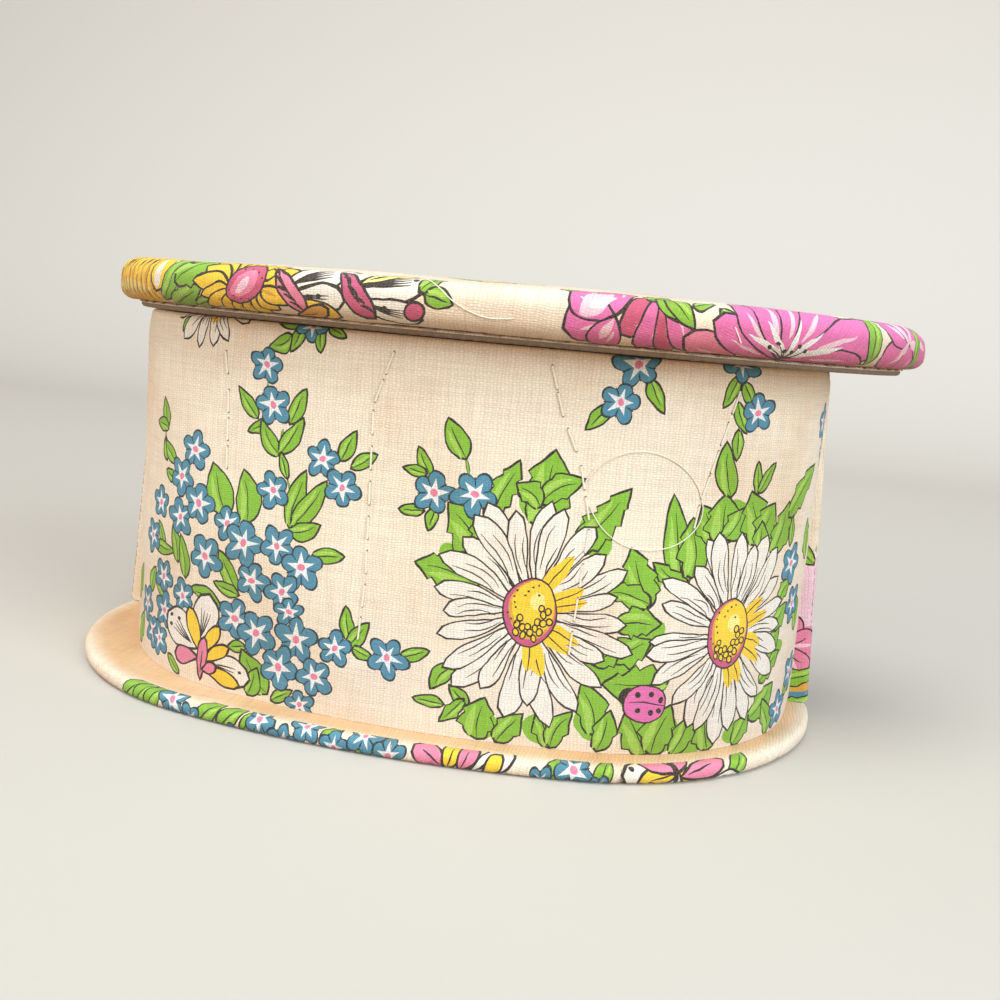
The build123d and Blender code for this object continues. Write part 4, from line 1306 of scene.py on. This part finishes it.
def lid_liner():
    """Plain cloth over the thin card that closes the lid's underside, folded over its edge."""
    back = REAR - LINER_BACK_INSET
    field = plan_field(LID, LID_SHIFT, 1.0, LINER_INSET, back)
    middle = (LID_SHIFT, -5.0)
    high = LINER_LOW + LINER_THICKNESS
    radius = LINER_THICKNESS / 2 - 0.02
    over = wrapped(field, lambda x, y: high + 0.03 * noise.noise(Vector((x * 0.1, y * 0.1, 1.0))), LINER_LOW,
                   radius, radius)
    def place(x, y):
        px, py, pz = over(x, y)
        return px, py, LINER_LOW + high - pz
    wrap = radius * pi - radius + 7.0
    outline = mitred(field, ring_at(field, middle, wrap, 2.0), over)
    guides = wrap_guides(field, middle, -radius, wrap, 0.35, 2.0, 4.0)
    # Painted shade: a dark ring on the liner's edge, which lies in shade under the lid's overhang, and cream inside it.
    darkened = [("painted_shade", ring_at(field, middle, 0.5, 2.0)), ("cream", ring_at(field, middle, -0.5, 2.0))]
    return plain_cloth("lid_liner_cloth", outline, guides, place, "lid", "lid_liner",
                       True, darkened)


lid_liner()


# ---- Base


BASE_FIELD = plan_field(BASE, 0.0, BASE_BACK_RADIUS)
BASE_MIDDLE = (0.0, 0.0)
base_place = wrapped(BASE_FIELD, lambda x, y: BASE_THICKNESS, 0.0, BASE_EDGE_RADIUS, BASE_EDGE_RADIUS)
BASE_WRAP = BASE_EDGE_RADIUS * pi - BASE_EDGE_RADIUS + 0.5 + 5.9


def on_base_edge(run, out):
    """Where a point at a run, and a way down from the top edge, lies on the base's flat cloth."""
    edge_x, edge_y, nx, ny = front_point(BASE, run, 0.0, 0.0)
    reach = 1.35 * out - 0.6
    return edge_x + nx * reach, edge_y + ny * reach


def base_edge_print():
    """The band of print round the base's edge, by run and way down over the edge."""
    drawn = []
    for run, tip in ((-47, -42), (-44, -40), (-41, -37), (-29.5, -25), (-25.5, -21), (-21, -17), (-6, -4), (0, 2),
                     (30, 33), (37.6, 40), (61, 66)):
        drawn += leaf(run, 2.6, tip, -1.6, 2.8)
    for run, out, radius in ((-35, 0.4, 3.0), (-31, 2.6, 2.4), (-17.6, 0.2, 2.8), (-13.4, 2.6, 2.6), (-9.4, -0.4, 3.0),
                             (-4.4, 2.0, 2.8), (0.6, -0.6, 3.0), (4.8, 1.6, 2.8), (34, 0.6, 3.2), (29, 2.6, 2.4),
                             (-23, 3.4, 2.2), (38.2, 2.8, 2.2)):
        drawn += forget_me_not(run, out, radius, 50 + 31 * run)
    drawn += wing(14, 2.0, 9.0, -0.6, 3.6, "pink", (), 1)
    drawn += wing(14, 2.4, 15.4, -2.4, 2.8, "yellow", (), 1)
    drawn += wing(16, 2.4, 18.4, -2.0, 2.8, "pink", (), 1)
    drawn += wing(18, 2.4, 24.6, -1.6, 3.4, "white", (), 3)
    drawn += wing(20, 2.6, 22.6, -0.6, 2.0, "yellow", (), 0)
    drawn += wing(50.6, 1.0, 42.0, 1.0, 4.6, "white", ((0.86, 0.2, 0.5),), 0)
    drawn += wing(50.6, 1.0, 44.6, 1.8, 3.0, "yellow", (), 1)
    drawn += wing(50.8, 0.6, 44.8, -2.0, 2.8, "pink", (), 0)
    drawn += wing(51.6, 0.6, 57.6, 3.4, 3.6, "yellow", (), 1)
    drawn += wing(51.4, 0.4, 53.6, -3.2, 2.4, "pink", (), 0)
    drawn += wing(52.0, 1.2, 60.4, -0.6, 2.8, "pink", (), 1)
    drawn += wing(57.0, 2.6, 64.4, 3.6, 4.0, "white", ((0.6, 0.0, 0.6),), 0)
    drawn.append(("line", blade(50.2, -3.0, 51.4, 4.0, 1.0)))
    return moved(moved(drawn, by_hand), on_base_edge)


def base_stain(x, y):
    """Glue has stained the base's top between the wall and its edge."""
    deep = -BASE_FIELD(x, y)[0]
    share = min(1.0, max(0.0, (deep - 0.8) / 2.6))
    share *= 0.95 + 0.35 * noise.noise(Vector((x * 0.09, y * 0.09, 15.0)))
    return dulling(min(1.0, share), (0.84, 0.6, 0.37))


def printed_base():
    """The base's cloth: a printed edge round a plain top that glue has stained."""
    outline = mitred(BASE_FIELD, ring_at(BASE_FIELD, BASE_MIDDLE, BASE_WRAP, 2.0), base_place)
    guides = wrap_guides(BASE_FIELD, BASE_MIDDLE, -BASE_EDGE_RADIUS, BASE_WRAP, 0.35, 1.8, 1.5)
    top = ("cream", ring_at(BASE_FIELD, BASE_MIDDLE, -2.3, 1.5))
    flat, triangles, inks = cut_cloth(outline, base_edge_print() + [top], guides)
    piece = cloth_piece("base_cover_cloth", flat, triangles, inks, base_place, PRINTED, "box", False, base_stain)
    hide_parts("base_cover")
    return piece


def base_underside():
    """Plain cloth sewn over the turnings under the base."""
    field = plan_field(BASE, 0.0, 1.0, 7.6, REAR - 7.6)
    outline = ring_at(field, BASE_MIDDLE, 0.0, 2.0)
    guides = wrap_guides(field, BASE_MIDDLE, -1.0, -0.5, 1.0, 2.0, 4.0)
    return plain_cloth("base_underside_cloth", outline, guides, lambda x, y: (x, y, 0.06), "box",
                       "base_underside", True)


printed_base()
base_underside()


# ---- Inside: lining, floor pad


def inside_lining():
    """Plain cloth inside the bowed wall."""
    run = WALL_RUN - 1.4
    top = RIM - FOOT - 0.4
    def place(u, v):
        x, y, nx, ny = front_point(BODY, u, 3.0, BODY_SHIFT)
        out = 0.12 * noise.noise(Vector((u * 0.12, v * 0.1, 11.0))) - 0.06
        return x + nx * out, y + ny * out, FOOT + v
    outline = rectangle(-run, run, 0.0, top, 2.0)
    guides = grid(-run, run, 0.0, top, 2.0, 3.0)
    return plain_cloth("wall_lining_cloth", outline, guides, place, "box", "wall_lining",
                       True)


def wall_stuffing():
    """Thin wadding between the wall's card and its printed cloth."""
    run = WALL_RUN - 0.3
    top = RIM - FOOT - 0.5
    def outer(u, v):
        return wall_place(u, min(v, WALL_RISE), CLOTH + 0.05)
    def inner(u, v):
        x, y, _, _ = front_point(BODY, u, 1.08, BODY_SHIFT)
        return x, y, FOOT + v
    outline = rectangle(-run, run, 0.0, min(top, WALL_RISE), 3.0)
    guides = grid(-run, run, 0.0, min(top, WALL_RISE), 3.0, 3.0)
    return stuffed("wall_wadding_layer", outline, guides, outer, inner, WADDING, "box", ["wall_wadding"])


FLOOR_TOP = 5.1
FLOOR_FIELD = plan_field(BODY, BODY_SHIFT, 0.6, 3.4, PANEL_FACE - 0.4)
FLOOR_MIDDLE = (BODY_SHIFT, 3.0)


def floor_top(x, y):
    """The floor pad's soft top, lower at its edge."""
    deep = min(1.0, -FLOOR_FIELD(x, y)[0] / 9.0)
    return FLOOR_TOP - 0.35 * (1 - deep) ** 2 + 0.12 * noise.noise(Vector((x * 0.06, y * 0.08, 6.0)))


def floor_pad():
    """The loose floor inside: wadding on a card, in plain cloth."""
    place = wrapped(FLOOR_FIELD, floor_top, FOOT + 0.02, 0.8, 0.3)
    wrap = 0.8 * pi / 2 - 0.8 + 1.2
    outline = ring_at(FLOOR_FIELD, FLOOR_MIDDLE, wrap, 2.0)
    guides = wrap_guides(FLOOR_FIELD, FLOOR_MIDDLE, -0.8, wrap, 0.3, 2.0, 3.0)
    plain_cloth("floor_lining_cloth", outline, guides, place, "box", "floor_lining")
    sunk = wrapped(FLOOR_FIELD, floor_top, FOOT + 0.02, 0.8, 0.3, None, CLOTH)
    outline = ring_at(FLOOR_FIELD, FLOOR_MIDDLE, 0.0, 3.0)
    guides = wrap_guides(FLOOR_FIELD, FLOOR_MIDDLE, -0.8, 0.0, 0.5, 3.0, 5.0)
    stuffed("floor_wadding_layer", outline, guides, sunk, lambda x, y: (*sunk(x, y)[:2], 3.82), WADDING, "box",
            ["floor_wadding"])


inside_lining()
wall_stuffing()
floor_pad()


# ---- Back panel

PANEL_LENGTH = hypot(PANEL_HALF_FOOT - PANEL_HALF_TOP, RIM - FOOT)
PANEL_WAY = ((RIM - FOOT) / PANEL_LENGTH, (PANEL_HALF_FOOT - PANEL_HALF_TOP) / PANEL_LENGTH)
PANEL_MIDDLE = (0.0, 34.0)
PANEL_EDGE = 1.15


def panel_field(x, z):
    """The back panel's field: sloping sides, rounded top corners, a straight foot."""
    side = 1 if x >= 0 else -1
    flank = (abs(x) - PANEL_HALF_FOOT) * PANEL_WAY[0] + (z - FOOT) * PANEL_WAY[1]
    way = (side * PANEL_WAY[0], PANEL_WAY[1])
    if z > PANEL_MIDDLE[1]:
        return rounded_corner(flank, way, z - RIM, (0.0, 1.0), PANEL_CORNER)
    return rounded_corner(flank, way, FOOT - z, (0.0, -1.0), 0.5)


def back_print():
    """The print on the back panel: the same kinds of flowers, and its right wing as photographed."""
    drawn = []
    for x0, z0, x1, z1, width, teeth in (
        (-40, 12, -50, 8, 4.4, 3), (-38, 14, -34, 6, 4.4, 3), (-30, 30, -22, 38, 4.4, 3), (-48, 32, -58, 38, 4.4, 3),
        (20, 16, 28, 8, 4.4, 3), (18, 34, 26, 42, 4.4, 3), (4, 34, -4, 42, 4.4, 3), (2, 16, -6, 10, 4.2, 3),
        (44, 48, 38, 54, 3.0, 0), (46, 48, 52, 54, 3.0, 0), (-14, 52, -20, 58, 2.6, 0), (-12, 52, -8, 59, 2.6, 0),
        (50, 24, 58, 20, 3.2, 2), (50, 26, 58, 32, 3.2, 2), (-62, 14, -68, 20, 3.2, 2), (-66, 48, -62, 54, 2.6, 0),
        (74, 2.5, 79, 5.4, 3.0, 2), (72, 7, 80, 10, 3.4, 2), (73.0, 43.0, 76.0, 50.0, 3.0, 0),
    ):
        drawn += leaf(x0, z0, x1, z1, width, teeth)
    drawn += daisy(11.0, 25.0, 17.0, 17.0, 4.4, 4.4, 22, 31)
    drawn += daisy(-40.0, 22.0, 15.0, 15.0, 4.0, 4.0, 21, 33)
    drawn += big_flower(60.0, 46.0, 9.0, 40, "magenta", 6, 4)
    drawn += big_flower(-16.0, 8.0, 8.0, 15, "yellow", 8, 6)
    for x, z, r in ((-14, 50, 3.0), (-18, 45, 3.1), (-10, 45, 3.0), (-14, 39.6, 3.0), (46, 44, 3.1), (41, 40, 3.0),
                    (47, 37, 3.2), (42, 33, 3.0), (48, 30.5, 3.1), (38, 12, 3.1), (44, 9, 3.0), (40, 18, 3.0),
                    (-62, 42, 3.1), (-57, 47, 3.0), (-64, 34, 3.0), (-30, 50, 3.0), (-35, 54, 3.1), (76, 4.6, 3.0),
                    (26, 54, 3.0), (31, 57, 3.0)):
        drawn += forget_me_not(x, z, r, 13 * x)
    drawn += butterfly(60.0, 12.0, 9.0, 25)
    drawn += butterfly(2.0, 56.0, 7.5, -15, ("white", "pale_yellow", "rose"))
    drawn += ladybird(-52.0, 55.0, 3.2)
    for ink, low, high in (("pale_pink", 17.0, 31.0), ("pink", 9.4, 18.0), ("ochre", 5.0, 9.6), ("blue", 2.4, 5.2)):
        drawn.append((ink, rectangle(70.0, 84.0, low, high, 2.0)))
    drawn += big_flower(77.5, 14.0, 6.5, 30, "pink", 5, 7)
    drawn += leaf(70.5, 9.0, 80.0, 6.8, 3.0, 2)
    drawn += leaf(71.0, 3.4, 80.0, 1.2, 3.4, 2)
    drawn += leaf(72.0, 30.0, 77.0, 36.0, 2.8)
    return drawn


def back_cover():
    """The back panel's printed cloth, wrapped round its card to the wings beside the wall."""
    def soft(x, z, travel):
        return 0.10 * noise.noise(Vector((x * 0.2, z * 0.2, 9.0))) * min(1.0, travel / 2.0)
    def face(x, z):
        return REAR - 0.03 + 0.08 * noise.noise(Vector((x * 0.05, z * 0.06, 8.0))) - 0.05
    over = wrapped(panel_field, face, PANEL_FACE, PANEL_EDGE, PANEL_EDGE, soft)
    def place(x, z):
        px, pz, py = over(x, z)
        return px, py, pz
    wrap = PANEL_EDGE * pi - PANEL_EDGE + 0.2 + 9.0
    outline = []
    for x, z in ring_at(panel_field, PANEL_MIDDLE, wrap, 2.0):
        if z > PANEL_MIDDLE[1]:
            outline += mitred(panel_field, [(x, z)], over)
        elif abs(x) > PANEL_HALF_FOOT - 0.5:
            outline.append((x, max(z, FOOT + 0.5)))
        else:
            outline.append((x, FOOT - 0.9))
    guides = wrap_guides(panel_field, PANEL_MIDDLE, -PANEL_EDGE, wrap, 0.4, 2.0, 3.0)
    flat, triangles, inks = cut_cloth(outline, back_print(), guides)
    piece = cloth_piece("back_cover_cloth", flat, triangles, inks, place, PRINTED, "box", True)
    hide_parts("back_cover")


def back_lining():
    """Plain cloth on the back panel's inner face."""
    half = BODY[0] - 3.0 - 0.6
    low, high = FOOT + 0.9, RIM - 0.9
    outline = [(x + BODY_SHIFT, z) for x, z in rectangle(-half, half, low, high, 3.0)]
    guides = [(x + BODY_SHIFT, z) for x, z in grid(-half, half, low, high, 3.0, 3.0)]
    def place(x, z):
        return x, PANEL_FACE - 0.05 - 0.05 * noise.noise(Vector((x * 0.1, z * 0.1, 2.0))), z
    plain_cloth("back_lining_cloth", outline, guides, place, "box", "back_lining")


back_cover()
back_lining()


# ---- Cloth hinge


def hinge_cloth():
    """One strip of plain cloth, from the outside of the back panel over its edge to under the lid."""
    half = HINGE_WIDTH / 2
    back_y, lid_z = REAR + 0.33, LID_LOW - 0.07
    route = [(back_y, 55.3), (back_y, 58.0), (back_y, 61.0), (back_y, 64.0), (back_y, 65.9), (back_y, 66.4),
             (back_y - 0.1, 66.9), (back_y - 0.35, 67.25), (back_y - 0.75, lid_z - 0.02), (back_y - 1.4, lid_z),
             (25.0, lid_z), (22.0, lid_z), (18.1, lid_z)]
    columns = 57
    points, flat, faces = [], [], []
    for layer in (0.0, 0.28):
        travel = 0.0
        for j, (y, z) in enumerate(route):
            y0, z0 = route[max(0, j - 1)]
            y1, z1 = route[min(len(route) - 1, j + 1)]
            length = hypot(y1 - y0, z1 - z0)
            ny, nz = -(z1 - z0) / length, (y1 - y0) / length
            travel += hypot(y - y0, z - z0)
            for i in range(columns):
                x = HINGE_X - half + HINGE_WIDTH * i / (columns - 1)
                points.append(Vector((x, y + ny * layer, z + nz * layer)) * MM)
                flat.append((x, travel))
    rows = len(route)
    sheet_faces = grid_faces(columns, rows)
    count = columns * rows
    faces = [face for face in sheet_faces] + [[i + count for i in face[::-1]] for face in sheet_faces]
    for j in range(rows - 1):
        for i, order in ((0, 1), (columns - 1, -1)):
            a, b = j * columns + i, (j + 1) * columns + i
            faces.append([a, b, b + count, a + count][::order])
    for j, order in ((0, -1), (rows - 1, 1)):
        for i in range(columns - 1):
            a = j * columns + i
            faces.append([a, a + 1, a + 1 + count, a + count][::-order])
    mesh = bpy.data.meshes.new("hinge_cloth_strip")
    mesh.from_pydata(points, [], faces)
    weave = mesh.uv_layers.new(name="cloth")
    for loop in mesh.loops:
        weave.data[loop.index].uv = flat[loop.vertex_index]
    mesh.shade_smooth()
    mesh.materials.append(PLAIN)
    piece = bpy.data.objects.new("hinge_cloth_strip", mesh)
    bpy.context.scene.collection.objects.link(piece)
    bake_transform(piece)
    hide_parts("hinge_cloth_back", "hinge_cloth_lid")


hinge_cloth()

# ---- Stage, light and camera

CAMERA_PLACE = (0.0513, -0.1846, 0.0697)
CAMERA_HEADING = (-0.2014, 0.9795)
CAMERA_PITCH = radians(9.33)
CAMERA_ROLL = radians(5.2)
CAMERA_LENS = 39.5


def make_camera():
    """The camera where the photograph was taken, with the photograph's tilt."""
    data = bpy.data.cameras.new("camera")
    data.lens = CAMERA_LENS
    data.sensor_width = 36.0
    data.clip_start = 0.005
    camera = bpy.data.objects.new("camera", data)
    bpy.context.scene.collection.objects.link(camera)
    heading = Vector((*CAMERA_HEADING, 0.0)).normalized()
    forward = heading * cos(CAMERA_PITCH) - Vector((0, 0, sin(CAMERA_PITCH)))
    level = Vector((heading.y, -heading.x, 0.0))
    upright = level.cross(forward)
    right = level * cos(CAMERA_ROLL) + upright * sin(CAMERA_ROLL)
    up = upright * cos(CAMERA_ROLL) - level * sin(CAMERA_ROLL)
    turn = Matrix((right, up, -forward)).transposed().to_4x4()
    camera.matrix_world = Matrix.Translation(CAMERA_PLACE) @ turn
    bpy.context.scene.camera = camera


def area_light(name, place, target, size, power, colour):
    """A soft square lamp that looks at a target."""
    data = bpy.data.lights.new(name, "AREA")
    data.shape = "SQUARE"
    data.size = size
    data.energy = power
    data.color = colour
    lamp = bpy.data.objects.new(name, data)
    bpy.context.scene.collection.objects.link(lamp)
    lamp.location = place
    lamp.rotation_euler = (Vector(target) - Vector(place)).to_track_quat("-Z", "Y").to_euler()


def make_stage():
    """A pale sweep: floor, a wide bend and an upright backdrop in one sheet."""
    profile = [(-1.2, 0.0), (0.45, 0.0)]
    for i in range(1, 13):
        angle = pi / 2 * i / 12
        profile.append((0.45 + 0.35 * sin(angle), 0.35 * (1 - cos(angle))))
    profile.append((0.8, 1.6))
    columns = 9
    points = [(-1.6 + 3.2 * i / (columns - 1), y, z - 0.0001) for y, z in profile for i in range(columns)]
    mesh = bpy.data.meshes.new("sweep")
    mesh.from_pydata(points, [], grid_faces(columns, len(profile)))
    mesh.shade_smooth()
    material, tree, shader = new_material("pale paper")
    path = node(tree, "ShaderNodeLightPath")
    seen = math_node(tree, "MAXIMUM", path.outputs["Is Camera Ray"], path.outputs["Is Glossy Ray"])
    seen = math_node(tree, "MAXIMUM", seen, path.outputs["Is Transmission Ray"])
    place = node(tree, "ShaderNodeSeparateXYZ")
    tree.links.new(node(tree, "ShaderNodeTexCoord").outputs["Object"], place.inputs[0])
    # Painted shade: the sweep's colour is darker on the floor in front and paler up the backdrop, evening out how the
    # lamps fall on it.
    back = node(tree, "ShaderNodeMapRange", interpolation_type="SMOOTHSTEP")
    tree.links.new(place.outputs["Y"], back.inputs["Value"])
    for socket, value in (("From Min", -0.1), ("From Max", 0.7), ("To Min", 0.0), ("To Max", 1.0)):
        back.inputs[socket].default_value = value
    pale = tint(tree, "MIX", back.outputs["Result"], linear(206, 203, 195), linear(244, 242, 235))
    paper = tint(tree, "MIX", seen, linear(150, 126, 106), pale)
    tree.links.new(paper, shader.inputs["Base Color"])
    shader.inputs["Roughness"].default_value = 0.9
    mesh.materials.append(material)
    sweep = bpy.data.objects.new("sweep", mesh)
    bpy.context.scene.collection.objects.link(sweep)


def make_light():
    """An even pale world with a large soft lamp overhead, to the front, and a fill on each side."""
    world = bpy.data.worlds.new("studio")
    world.use_nodes = True
    background = world.node_tree.nodes["Background"]
    background.inputs["Color"].default_value = (1.0, 0.995, 0.985, 1.0)
    background.inputs["Strength"].default_value = 0.5
    bpy.context.scene.world = world
    area_light("key", (-0.1, -0.35, 0.85), (0.0, 0.0, 0.05), 0.5, 4.2, (1.0, 0.985, 0.96))
    area_light("fill_left", (-0.6, -0.6, 0.3), (0.0, 0.0, 0.04), 0.5, 3.0, (1.0, 0.97, 0.93))
    area_light("fill_right", (0.65, -0.45, 0.35), (0.0, 0.0, 0.04), 0.5, 5.6, (0.82, 0.93, 1.0))


make_camera()
make_stage()
make_light()

for name, material in (
    ("base_board", CARD), ("wall_card", CARD), ("back_card", CARD), ("floor_card", CARD), ("lid_board", CARD),
    ("lid_liner_card", CARD), ("underside_stitches", THREAD), ("rim_stitches", DARKER_THREAD),
    ("quilting_stitches", THREAD), ("side_seam_stitches", THREAD), ("lid_stitches", DARKER_THREAD),
    ("hinge_stitches_back", THREAD), ("hinge_stitches_lid", THREAD),
):
    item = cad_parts[name]
    if item.material_slots:
        for place in item.material_slots:
            place.material = material
    else:
        item.data.materials.append(material)

bpy.context.scene.view_settings.view_transform = "Standard"
